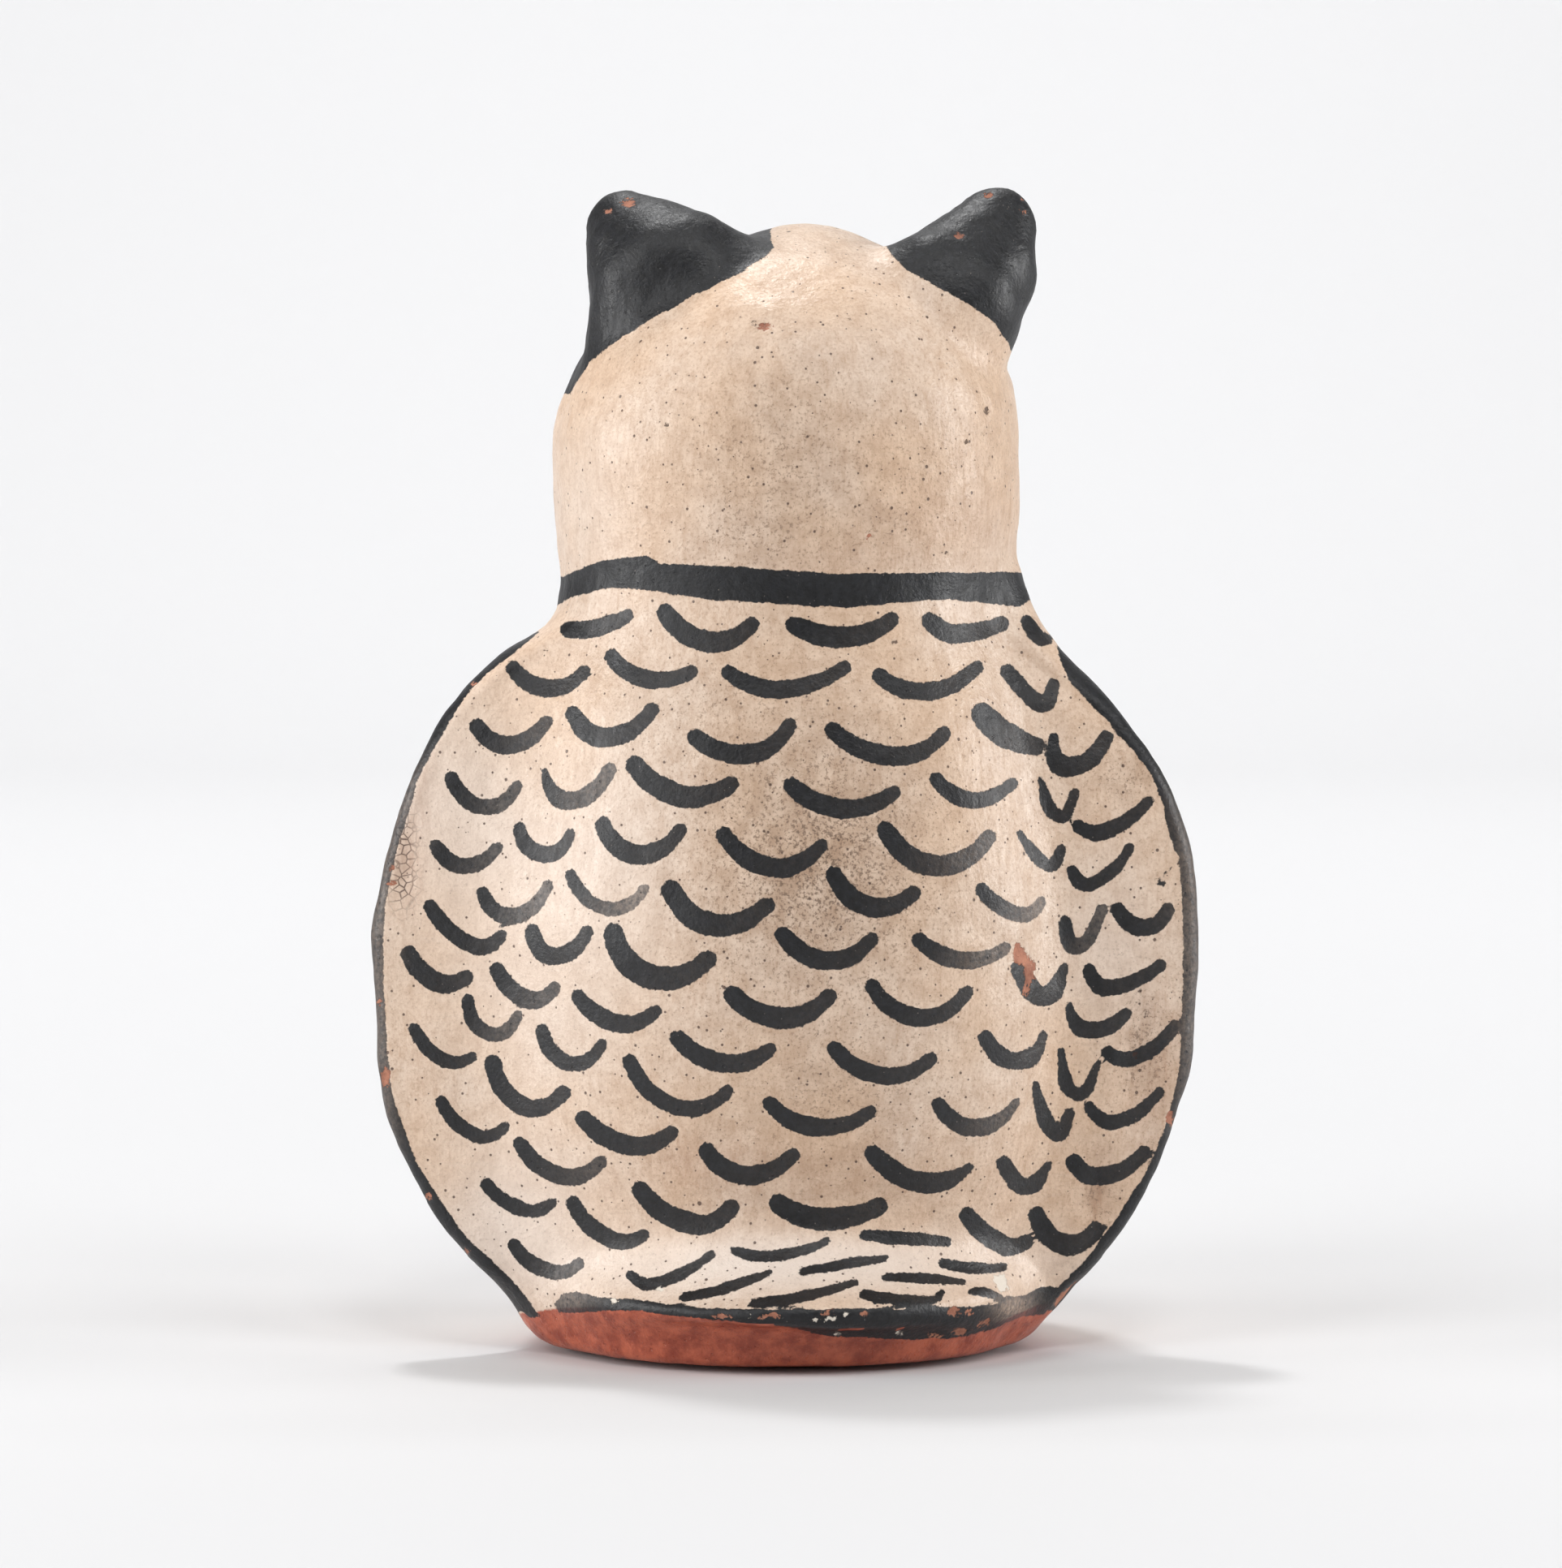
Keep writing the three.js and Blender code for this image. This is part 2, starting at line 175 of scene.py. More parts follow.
FEATHER_ROWS = [
    [(696, 770, 731, 779, 779, 756, 22), (816, 749, 872, 796, 932, 767, 26),
     (973, 763, 1042, 790, 1106, 760, 26), (1142, 758, 1176, 785, 1240, 765, 24),
     (1262, 760, 1280, 790, 1295, 787, 17)],
    [(628, 817, 675, 853, 726, 825, 22), (750, 803, 795, 841, 858, 825, 22),
     (894, 823, 961, 854, 1046, 819, 22), (1080, 827, 1144, 856, 1209, 819, 22),
     (1238, 821, 1283, 872, 1303, 841, 20)],
    [(584, 890, 628, 923, 680, 887, 22), (704, 875, 748, 914, 810, 872, 24),
     (852, 902, 925, 934, 978, 890, 24), (1022, 894, 1104, 937, 1167, 901, 24),
     (1204, 872, 1236, 910, 1283, 915, 32), (1296, 906, 1315, 950, 1369, 905, 25)],
    [(553, 953, 595, 998, 642, 967, 20), (670, 948, 701, 991, 757, 945, 22),
     (778, 936, 838, 986, 907, 963, 28), (970, 961, 1037, 1001, 1107, 973, 24),
     (1150, 955, 1197, 990, 1251, 963, 20), (1279, 957, 1305, 1009, 1328, 975, 16),
     (1325, 1013, 1359, 1029, 1419, 986, 20)],
    [(534, 1038, 572, 1071, 617, 1042, 20), (635, 1016, 669, 1057, 707, 1025, 20),
     (738, 1010, 786, 1058, 843, 1020, 24), (887, 1022, 953, 1074, 1018, 1038, 24),
     (1086, 1015, 1152, 1072, 1224, 1028, 26), (1254, 1024, 1291, 1070, 1311, 1044, 16),
     (1318, 1068, 1343, 1093, 1395, 1043, 17)],
    [(591, 1096, 631, 1133, 679, 1089, 20), (700, 1073, 748, 1123, 798, 1093, 17),
     (822, 1089, 878, 1145, 951, 1112, 28), (1023, 1072, 1072, 1122, 1132, 1097, 25),
     (1206, 1091, 1256, 1131, 1286, 1109, 19), (1308, 1131, 1327, 1171, 1362, 1118, 18),
     (1374, 1116, 1411, 1147, 1445, 1118, 22)],
    [(527, 1112, 585, 1170, 623, 1150, 20), (653, 1142, 683, 1183, 729, 1145, 22),
     (751, 1143, 803, 1210, 879, 1178, 30), (960, 1145, 1021, 1189, 1079, 1154, 24),
     (1128, 1152, 1183, 1187, 1243, 1166, 21), (1252, 1188, 1285, 1233, 1315, 1190, 24),
     (1338, 1191, 1363, 1221, 1434, 1187, 20)],
    [(499, 1169, 539, 1215, 580, 1201, 24), (608, 1190, 650, 1236, 687, 1215, 22),
     (708, 1222, 761, 1266, 813, 1243, 22), (897, 1218, 964, 1260, 1027, 1225, 26),
     (1071, 1210, 1132, 1258, 1196, 1220, 22), (1315, 1237, 1340, 1273, 1392, 1246, 21)],
    [(572, 1228, 605, 1278, 641, 1249, 18), (664, 1265, 703, 1314, 746, 1284, 19),
     (830, 1273, 891, 1315, 954, 1290, 24), (1023, 1285, 1086, 1330, 1152, 1302, 22),
     (1210, 1273, 1255, 1312, 1289, 1273, 22), (1305, 1292, 1326, 1351, 1355, 1308, 17),
     (1361, 1291, 1398, 1308, 1452, 1261, 19)],
    [(507, 1263, 548, 1310, 586, 1300, 17), (603, 1303, 645, 1367, 701, 1343, 23),
     (771, 1302, 834, 1368, 901, 1342, 21), (945, 1355, 1006, 1394, 1077, 1367, 22),
     (1153, 1355, 1201, 1394, 1255, 1355, 21), (1273, 1334, 1300, 1401, 1322, 1370, 19),
     (1338, 1359, 1376, 1386, 1433, 1343, 18)],
    [(541, 1353, 587, 1403, 626, 1386, 18), (716, 1372, 777, 1416, 832, 1393, 24),
     (866, 1413, 918, 1453, 983, 1420, 24), (1071, 1415, 1138, 1462, 1197, 1435, 26),
     (1231, 1427, 1264, 1467, 1295, 1433, 21), (1319, 1426, 1355, 1455, 1415, 1417, 23)],
    [(637, 1404, 693, 1454, 746, 1429, 22), (784, 1460, 853, 1513, 908, 1484, 26),
     (955, 1476, 1015, 1508, 1091, 1482, 28), (1187, 1491, 1236, 1539, 1269, 1527, 24),
     (1273, 1491, 1311, 1538, 1356, 1511, 25)],
    [(597, 1455, 645, 1495, 684, 1480, 17), (702, 1477, 751, 1531, 798, 1519, 21)],
    [(629, 1529, 676, 1570, 717, 1555, 19), (775, 1568, 806, 1584, 880, 1544, 14),
     (903, 1538, 955, 1551, 1022, 1527, 14), (1062, 1518, 1115, 1529, 1171, 1527, 16),
     (839, 1594, 893, 1589, 951, 1567, 13), (986, 1564, 1044, 1559, 1095, 1549, 12),
     (1160, 1552, 1205, 1565, 1239, 1559, 13), (926, 1600, 980, 1601, 1057, 1578, 13),
     (1089, 1570, 1142, 1577, 1189, 1578, 12), (1062, 1590, 1111, 1604, 1160, 1597, 14),
     (1196, 1588, 1214, 1595, 1233, 1598, 12)],
]

# Strokes that start or end in a point, strokes with a sharp bend, and strokes that fade towards
# their end: row and place

POINTED_STARTS = {(3, 6), (4, 2), (4, 6), (5, 6), (8, 6), (9, 6), (10, 6)}
BENT_STROKES = {(2, 5), (4, 6), (5, 6), (6, 6), (7, 6), (9, 6), (10, 6), (11, 5)}
POINTED_ENDS = {(7, 6), (9, 5), (9, 6), (10, 5), (11, 4), (11, 5)}
FADED_STROKES = {
    (3, 1): 0.12, (4, 1): 0.18, (4, 2): 0.3, (5, 1): 0.15, (5, 5): 0.22, (6, 1): 0.3, (6, 2): 0.55,
    (6, 5): 0.5, (6, 6): 0.22, (7, 5): 0.35, (8, 2): 0.18, (9, 1): 0.22, (10, 5): 0.26, (12, 1): 0.15,
    (14, 1): 0.2,
}
USUAL_FADE = 0.05

# Black paint with long edges, as closed outlines in pixels. Those that run off the owl close
# beyond its silhouette

# Out of the photo's sight the ear ink's lower edge rises by this share of the way forward
EAR_INK_RISE = 0.9
LEFT_EAR_INK = [
    (660, 490), (702, 485), (727, 445), (759, 419), (799, 394), (838, 370), (878, 350), (913, 336),
    (929, 323), (945, 315), (953, 305), (949, 293), (950, 279), (945, 180), (640, 180),
]
RIGHT_EAR_INK = [
    (1050, 283), (1071, 295), (1093, 305), (1099, 315), (1119, 334), (1143, 346), (1174, 364),
    (1210, 386), (1226, 398), (1241, 421), (1247, 435), (1300, 440), (1340, 180), (1050, 180),
]
NECK_BAND_INK = [
    (640, 713), (689, 711), (743, 691), (796, 684), (812, 694), (908, 698), (1028, 707),
    (1167, 705), (1260, 705), (1310, 703), (1310, 738), (1272, 738), (1256, 747), (1171, 739),
    (1086, 744), (1042, 749), (952, 744), (872, 739), (810, 729), (756, 723), (698, 738),
    (689, 747), (640, 749),
]
LEFT_WING_INK = [
    (663, 779), (640, 800), (600, 828), (573, 860), (553, 893), (537, 920), (520, 947), (505, 993),
    (487, 1053), (475, 1110), (472, 1160), (473, 1220), (478, 1300), (482, 1340), (490, 1370),
    (513, 1433), (550, 1490), (580, 1530), (623, 1570), (657, 1608), (670, 1622), (655, 1624),
    (644, 1615), (590, 1640), (400, 1500), (400, 760), (640, 760),
]
RIGHT_WING_INK = [
    (1301, 797), (1307, 819), (1317, 840), (1331, 856), (1345, 870), (1363, 887), (1377, 903),
    (1394, 922), (1408, 941), (1423, 964), (1434, 995), (1441, 1031), (1452, 1056), (1455, 1092),
    (1457, 1138), (1456, 1252), (1452, 1318), (1444, 1364), (1429, 1405), (1408, 1451),
    (1378, 1497), (1352, 1533), (1327, 1563), (1300, 1588), (1290, 1612), (1320, 1630),
    (1540, 1400), (1540, 1000), (1400, 800),
]
TAIL_LIP_INK = [
    (681, 1606), (692, 1595), (710, 1591), (725, 1595), (741, 1599), (780, 1600), (822, 1606),
    (864, 1610), (955, 1613), (1060, 1612), (1109, 1613), (1165, 1610), (1200, 1610), (1228, 1606),
    (1240, 1598), (1262, 1596), (1275, 1588), (1294, 1584), (1310, 1590), (1286, 1620), (1256, 1623),
    (1235, 1633), (1214, 1641), (1186, 1646), (1165, 1649), (1130, 1650), (1095, 1650), (1060, 1649),
    (1025, 1648), (1004, 1645), (983, 1640), (955, 1635), (927, 1632), (892, 1628), (857, 1624),
    (822, 1621), (787, 1616), (755, 1615), (724, 1617), (690, 1617),
]
INK_MARKS = [
    ((1075, 1597, 5), (1110, 1604, 6), (1140, 1612, 6)),
    ((1136, 1608, 5), (1150, 1601, 5), (1160, 1592, 5)),
    ((1446, 1066, 1.5), (1440, 1071, 1.5), (1433, 1079, 1.5)),
    ((1424, 1084, 2), (1430, 1091, 2), (1429, 1083, 1.5), (1435, 1092, 2)),
]

# The upper edge of the red slip on the back, in pixels, closed below the owl. Elsewhere its height
# is in millimetres, on the left and on the right

RED_SLIP_BACK = [
    (560, 1617), (645, 1617), (690, 1612), (744, 1610), (807, 1614), (869, 1620), (927, 1627),
    (983, 1635), (1025, 1643), (1095, 1645), (1165, 1644), (1214, 1636), (1256, 1618), (1280, 1608),
    (1340, 1600), (1340, 1760), (560, 1760),
]
RED_SLIP_TOP = (4.7, 5.6)
RED_SLIP_UNDER_TAIL = 12
RED_SLIP_RISE = (6, -8)

# Chips down to the red clay, pale chips and dark pits, in pixels: ovals with their place, half
# width and half height, and outlines

RED_CHIPS = [
    (774, 250, 8, 5), (749, 261, 5, 3.5), (1217, 240, 5, 3.5), (1261, 244, 4, 3), (1261, 261, 4, 3),
    (1182, 286, 5, 3.5), (475, 1327, 6, 11), (467, 1235, 4, 4), (583, 841, 4, 3.5), (482, 1070, 4, 4),
    (482, 1088, 6, 3.5), (528, 1474, 5, 4), (574, 1543, 4, 3), (1442, 1378, 5, 10), (1071, 662, 4, 4),
    (942, 404, 9, 4), (888, 1622, 11, 4), (937, 1624, 5, 3.5), (953, 1621, 7, 5), (1019, 1617, 9, 3.5),
    (1065, 1619, 6, 4), (1175, 1616, 8, 6), (1193, 1617, 5, 4), (1182, 1640, 9, 5), (1151, 1646, 8, 3.5),
    (1207, 1633, 4, 3.5), (1217, 1629, 3.5, 4),
]
RED_CHIP_OUTLINES = [
    [(1253, 1158), (1263, 1171), (1271, 1181), (1278, 1189), (1273, 1197), (1276, 1204), (1269, 1213),
     (1267, 1228), (1259, 1226), (1264, 1212), (1264, 1198), (1261, 1188), (1251, 1189), (1249, 1172)],
    [(1298, 1608), (1306, 1596), (1320, 1585), (1332, 1578), (1322, 1598), (1304, 1614)],
]
PALE_CHIPS = [
    (1007, 1628, 5, 4), (1023, 1626, 6, 4), (1041, 1618, 4, 3.5), (924, 1621, 3.5, 3), (755, 1603, 5, 3.5),
    (812, 1587, 5, 3), (1032, 1646, 4, 3), (1108, 1643, 4, 3), (980, 1617, 3.5, 3),
]
PALE_CHIP_OUTLINES = [
    [(1223, 1572), (1238, 1569), (1243, 1590), (1232, 1592)],
]
PITS = [
    (1102, 792, 4.5, 3.5), (821, 523, 3.5, 3.5), (1101, 548, 3, 3), (1215, 506, 3, 4.5), (673, 800, 3, 3),
    (1067, 664, 3, 3), (1412, 1250, 3, 3.5), (1399, 1300, 3.5, 4.5), (1404, 1222, 3, 3),
    (930, 400, 4, 2.5), (1190, 545, 3, 3), (1165, 680, 3, 2.5), (1046, 395, 3, 2.5),
]

# Hollows and rises worked into the back: place, half width and half height in pixels, and how far
# they stand off in millimetres

WORKED = [
    (988, 430, 66, 50, 0.6), (1010, 352, 85, 26, -0.3), (940, 378, 40, 16, 0.3), (1192, 590, 42, 62, 0.5),
    (800, 470, 70, 50, -0.35), (1080, 470, 50, 60, -0.35), (1352, 1470, 16, 50, -0.7),
    (1368, 1300, 14, 60, 0.5), (1400, 1310, 22, 50, -0.4), (500, 1060, 12, 60, -0.3),
    (812, 352, 62, 42, -0.9), (1190, 318, 44, 46, -0.9),
]

# Soot and painted shade, brown stains and painted shade, paler slip that is painted sheen, thin ink that is
# painted reflection along the wings' rims, and crackled slip: place, half width, half height, strength

# The soot clouds are partly real soot and partly painted shade: the broad clouds over the middle, the head's
# right side and the right wing's crease darken where less light falls
SOOT_AND_SHADE = [
    (1010, 1060, 135, 150, 0.9), (960, 560, 110, 75, 0.4), (930, 665, 90, 45, 0.4), (1090, 650, 60, 40, 0.3),
    (1165, 560, 70, 60, 0.2), (1040, 1350, 110, 70, 0.35), (1390, 955, 55, 32, 0.5),
    (1408, 1290, 34, 55, 0.6), (1352, 1470, 20, 46, 0.6), (900, 860, 120, 50, 0.25),
    (1000, 1120, 330, 430, 0.2), (1020, 560, 220, 160, 0.15), (1420, 1300, 60, 200, 0.25),
]
# The brown stains are partly real stains and partly painted shade: the head's shaded right side, the right
# wing's crease and the dark strip by its rim
STAINS_AND_SHADE = [
    (500, 1060, 18, 58, 0.55), (1180, 640, 80, 50, 0.25), (860, 1430, 60, 30, 0.4),
    (1040, 1450, 180, 60, 0.2), (1352, 1470, 18, 46, 0.5), (930, 1634, 70, 6, 0.8), (700, 1617, 30, 6, 0.6),
    (1425, 1340, 34, 100, 0.4), (520, 960, 16, 90, 0.3), (1050, 690, 150, 26, 0.2),
]
# Painted sheen: paler slip where the side lamps' sheen falls on the flanks and the right wing, and where the
# top lamp lights the tail ledge
PAINTED_SHEEN_SPOTS = [
    (560, 1000, 110, 150, 0.6), (735, 1100, 90, 170, 0.4), (630, 1500, 90, 90, 0.7),
    (640, 1200, 90, 160, 0.4), (960, 1560, 360, 40, 0.9), (715, 610, 60, 110, 0.3), (1370, 1170, 60, 90, 0.4),
]
# Thin, worn ink; along the wings' rims it is partly painted reflection, a bluish grey where the side lamps
# shine on the black
THIN_INK_AND_RIM_SHEEN = [
    (470, 1150, 22, 420, 0.3), (1468, 1150, 26, 330, 0.3), (505, 995, 26, 60, 0.3),
    (1250, 1612, 24, 20, 0.9), (700, 1600, 30, 16, 0.4),
]
CRACKLE = [(497, 1040, 15, 38, 1), (496, 1092, 16, 26, 1)]

# Feathers on the front, in pixels: rows of strokes round the trunk, and one to a row on each wing.
# Margins are from a stroke's middle to the wing's rim

FRONT_ROWS = 10
FRONT_FIRST_ROW = 850
FRONT_ROW_STEP = 78
FRONT_STROKE_STEP = 108
FRONT_STROKE_SPAN = 78
FRONT_STROKE_SAG = 32
FRONT_STROKE_WIDTH = 21
TRUNK_STROKE_MARGIN = 200
WING_STROKE_MARGIN = 20
EYE_OUT = 14.5
EYE_HEIGHT = 157
EYE_RING = (6.6, 8.8)
PUPIL = 3.2

FAR_FROM_PAINT = 3.0
SOFTBOX_DISTANCE = 2.2

# Colours under an even white light, as a picture holds them, 0 to 255. The pale slip colour is painted sheen;
# the smoke and stain colours are partly painted shade, and the thin ink's grey is partly painted reflection

PAINTED_SHEEN_SLIP = (240, 228, 218)
SLIP_LIGHT = (230, 209, 190)
SLIP_WARM = (226, 197, 170)
SLIP_DARK = (184, 148, 118)
STAIN_AND_SHADE_BROWN = (160, 112, 84)
SMOKE_AND_SHADE = (160, 130, 106)
SOOT_DOT = (92, 74, 62)
SPECK = (78, 56, 46)
PIT = (62, 42, 34)
CRACK = (84, 62, 52)
RED_SLIP = (190, 100, 72)
RED_SLIP_DARK = (140, 62, 44)
RED_SLIP_WORN = (214, 146, 122)
INK = (13, 13, 15)
INK_SOFT = (27, 28, 32)
INK_THIN_AND_SHEEN = (80, 82, 88)
INK_SPECK = (128, 118, 112)
RED_CLAY = (190, 130, 104)
RED_CLAY_DARK = (140, 88, 68)
PALE_CHIP = (232, 222, 208)
FLOOR = (220, 220, 221)
BACKDROP = (237, 237, 238)


def smooth_step(low, high, value):
    share = np.clip((value - low) / (high - low), 0, 1)
    return share * share * (3 - 2 * share)


def soft_union(a, b, blend):
    share = np.clip(0.5 + 0.5 * (b - a) / blend, 0, 1)
    return b + (a - b) * share - blend * share * (1 - share)


def soft_cut(a, b, blend):
    return -soft_union(-a, -b, blend)


def along(table, column, height):
    """A smooth curve through one column of a table whose first column is the height."""
    heights = table[:, 0]
    values = table[:, column]
    slopes = np.empty(len(table))
    slopes[1:-1] = (values[2:] - values[:-2]) / (heights[2:] - heights[:-2])
    slopes[0] = (values[1] - values[0]) / (heights[1] - heights[0])
    slopes[-1] = (values[-1] - values[-2]) / (heights[-1] - heights[-2])
    z = np.clip(height, heights[0], heights[-1])
    i = np.clip(np.searchsorted(heights, z, side="right") - 1, 0, len(table) - 2)
    span = heights[i + 1] - heights[i]
    t = (z - heights[i]) / span
    end_weight = t * t * (3 - 2 * t)
    ends = values[i] * (1 - end_weight) + values[i + 1] * end_weight
    return ends + span * (slopes[i] * t * (1 - t) ** 2 - slopes[i + 1] * t * t * (1 - t))


def oval_distance(offsets, radii, power):
    """Signed distance, near enough, to an oval whose corners get squarer as the power grows."""
    total = 1e-12
    slopes = 0
    for offset, radius in zip(offsets, radii):
        ratio = np.abs(offset / radius)
        total = total + ratio ** power
        slopes = slopes + (ratio ** (power - 1) / radius) ** 2
    size = total ** (1 / power)
    return (size - 1) / (np.sqrt(slopes) * size ** (1 - power) + 1e-9)


def dot(a, b):
    return sum(value * other for value, other in zip(a, b))


def tapered_bar(point, start, end, radii, swell=0.0):
    """Distance to a round bar from one point to another, its radius changing on the way."""
    offsets = [value - s for value, s in zip(point, start)]
    axis = [e - s for s, e in zip(start, end)]
    t = np.clip(dot(offsets, axis) / dot(axis, axis), 0, 1)
    gap = np.sqrt(sum((offset - t * a) ** 2 for offset, a in zip(offsets, axis)))
    return gap - radii[0] - (radii[1] - radii[0]) * t - swell * 4 * t * (1 - t)


def round_cone(point, start, end, radii, flatness, swell):
    """A tapered bar whose sides leave both its round ends without a corner."""
    scale = (1, 1 / flatness, 1)
    offsets = [(value - s) * k for value, s, k in zip(point, start, scale)]
    axis = [(e - s) * k for s, e, k in zip(start, end, scale)]
    length = math.sqrt(dot(axis, axis))
    slope = (radii[1] - radii[0]) / length
    reach = dot(offsets, axis) / length
    aside = np.sqrt(np.maximum(dot(offsets, offsets) - reach ** 2, 0))
    t = np.clip((reach + aside * slope / math.sqrt(1 - slope ** 2)) / length, 0, 1)
    gap = np.sqrt(sum((offset - t * a) ** 2 for offset, a in zip(offsets, axis)))
    return gap - radii[0] - (radii[1] - radii[0]) * t - swell * (4 * t * (1 - t)) ** 2


def trunk(x, y, z):
    depth = np.where(y < 0, along(TRUNK, 2, z), along(TRUNK, 3, z))
    section = oval_distance((x, y), (along(TRUNK, 1, z), depth), TRUNK_SQUARENESS)
    return soft_cut(section, z - TRUNK_TOP, TRUNK_TOP_ROUNDING)


def wing(shape, x, y, z):
    """A flange pinched out of the side, thick at the root and thin at the rim."""
    rim = WING_RIM + 5 * smooth_step(98, 126, z) + 2.5 * smooth_step(26, 4, z)
    fullness = smooth_step(shape["root_top"], 92, z) * (0.5 + 0.5 * smooth_step(0, 34, z))
    root = rim + WING_ROOT * fullness
    rim_back = shape["rim_back"] + 9 * smooth_step(96, 128, z) + 4 * smooth_step(22, 0, z)
    start = (WING_ROOT_OUT, shape["root_back"])
    end = (along(WING_REACH, shape["column"], z) - rim, rim_back)
    flange = tapered_bar((shape["side"] * x, y), start, end, (root, rim), swell=shape["swell"])
    return soft_cut(flange, z - shape["top"], 4)


def tail(x, y, z):
    across = (x - TAIL_OFF_CENTRE) * TAIL_REACH / TAIL_HALF_WIDTH
    lip = TAIL_LIP_THIN + (TAIL_LIP_THICK - TAIL_LIP_THIN) * smooth_step(-18, 12, x)
    start = (TAIL_ROOT["out"], TAIL_ROOT["height"])
    end = (TAIL_REACH - lip, TAIL_LIP_HEIGHT)
    ledge = tapered_bar((np.hypot(across, y), z), start, end, (TAIL_ROOT["radius"], lip))
    return soft_cut(ledge, y - TAIL_FRONT_END, 8)


def head(x, y, z):
    lean = HEAD_LEAN * smooth_step(140, HEAD_TOP, z)
    rise = z - HEAD["height"]
    depth = np.where(y < 0, HEAD["behind"], HEAD["front"])
    radii = (HEAD["half_width"], depth, np.where(rise > 0, HEAD["above"], HEAD["below"]))
    egg = oval_distance((x - lean, y, rise), radii, HEAD_SQUARENESS)
    offsets = [value - centre for value, centre in zip((x, y, z), CROWN["place"])]
    crown = np.sqrt(sum(offset ** 2 for offset in offsets)) - CROWN["radius"]
    return soft_cut(soft_union(egg, crown, 3), HEAD_BOTTOM - z, 5)


def between(pair, share):
    """What lies at a share of the way from the first of a pair to the second."""
    first, second = np.array(pair, float)
    return first + (second - first) * share


def ear(shape, x, y, z):
    """Cones that fan out from the pinched tip, from a root in the head's side to one in its top."""
    form = None
    for share in np.linspace(0, 1, EAR_CONES):
        root = between((shape["side_root"], shape["top_root"]), share)
        radii = (shape["tip_radius"], between(shape["root_radii"], share))
        swell = between(shape["swells"], share)
        cone = round_cone((x, y, z), shape["tip"], root, radii, EAR_FLATNESS, swell)
        form = cone if form is None else soft_union(form, cone, EAR_CONE_BLEND)
    return form


def beak(x, y, z):
    return tapered_bar((x / BEAK["narrowness"], y, z), BEAK["root"], BEAK["point"], BEAK["radii"])


def toes(side, x, y, z):
    start, end = [
        (side * TOES["out"][i], TOES["forward"][i], TOES["height"][i]) for i in range(2)
    ]
    return tapered_bar((x, y, z), start, end, TOES["radii"])


def foot_lift(x, y):
    """The foot is flat in the middle. At the back and the sides it curls up towards its rim."""
    return FOOT_LIFT * smooth_step(*FOOT_LIFT_REACH, np.hypot(x, y)) * smooth_step(*FOOT_LIFT_DEPTH, y)


def clay(points):
    """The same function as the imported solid's: below zero inside the owl, above zero outside."""
    x, y, z = points[..., 0], points[..., 1], points[..., 2]
    form = trunk(x, y, z)
    form = soft_union(form, wing(LEFT_WING, x, y, z), LEFT_WING["blend"])
    form = soft_union(form, wing(RIGHT_WING, x, y, z), RIGHT_WING["blend"])
    form = soft_union(form, tail(x, y, z), 7)
    form = soft_union(form, head(x, y, z), 3)
    form = soft_union(form, ear(LEFT_EAR, x, y, z), EAR_BLEND)
    form = soft_union(form, ear(RIGHT_EAR, x, y, z), EAR_BLEND)
    form = soft_union(form, beak(x, y, z), 5)
    form = soft_union(form, toes(-1, x, y, z), 6)
    form = soft_union(form, toes(1, x, y, z), 6)
    return soft_cut(form, foot_lift(x, y) - z, FOOT_ROUNDING)


def clay_slope(points):
    nudge = 0.05
    here = clay(points)
    slopes = [(clay(points + nudge * axis) - here) / nudge for axis in np.eye(3)]
    return here, np.stack(slopes, axis=-1)


def skin_columns():
    """Places across the spine and compass bearings, going round the owl once: along the back,
    round the right wing's rim, along the front and round the left wing's rim."""
    quarter_turn = math.pi / 2
    columns = []
    for side, count in ((1, BACK_COLUMNS), (-1, FRONT_COLUMNS)):
        for i in range(count):
            across = side * (2 * i / count - 1)
            columns.append((across, side * (across * RAY_SPREAD - quarter_turn)))
        for i in range(RIM_COLUMNS):
            turn = 2 * i / RIM_COLUMNS - 1
            middle = 0 if side > 0 else math.pi
            columns.append((side, middle + turn * (quarter_turn - RAY_SPREAD)))
    return np.array(columns)


def skin_rows():
    """Heights on the spine and elevations, going from the foot to the crown."""
    quarter_turn = math.pi / 2
    low, high = SPINE[0, 0], SPINE[-1, 0]
    under = (1 - (np.arange(ROWS_UNDER) + 0.5) / ROWS_UNDER) ** ROW_CROWDING_UNDER
    up = (np.arange(ROWS_UP) / ROWS_UP) ** ROW_CROWDING_UP
    over = np.arange(ROWS_OVER) / ROWS_OVER
    heights = np.concatenate([np.full(ROWS_UNDER, low), low + (high - low) * up, np.full(ROWS_OVER, high)])
    elevations = np.concatenate([-quarter_turn * under, np.zeros(ROWS_UP), quarter_turn * over])
    return heights, elevations


def skin_grid():
    """Where each ray leaves the clay. Every ray leaves it once, so halving the reach finds it."""
    columns = skin_columns()
    heights, elevations = skin_rows()
    x = along(SPINE, 1, heights)[:, None] * columns[:, 0]
    starts = np.stack([x, -SPINE_CURL * x * x, np.repeat(heights[:, None], len(columns), axis=1)], axis=-1)
    level = np.cos(elevations)[:, None]
    rise = np.sin(elevations)[:, None]
    bearings = columns[:, 1]
    rays = np.stack([level * np.cos(bearings), level * np.sin(bearings), rise + 0 * bearings], axis=-1)
    inside = np.zeros(x.shape)
    outside = np.full(x.shape, float(LONGEST_RAY))
    for _ in range(RAY_HALVINGS):
        middle = (inside + outside) / 2
        is_inside = clay(starts + rays * middle[..., None]) < 0
        inside = np.where(is_inside, middle, inside)
        outside = np.where(is_inside, outside, middle)
    return starts + rays * inside[..., None]


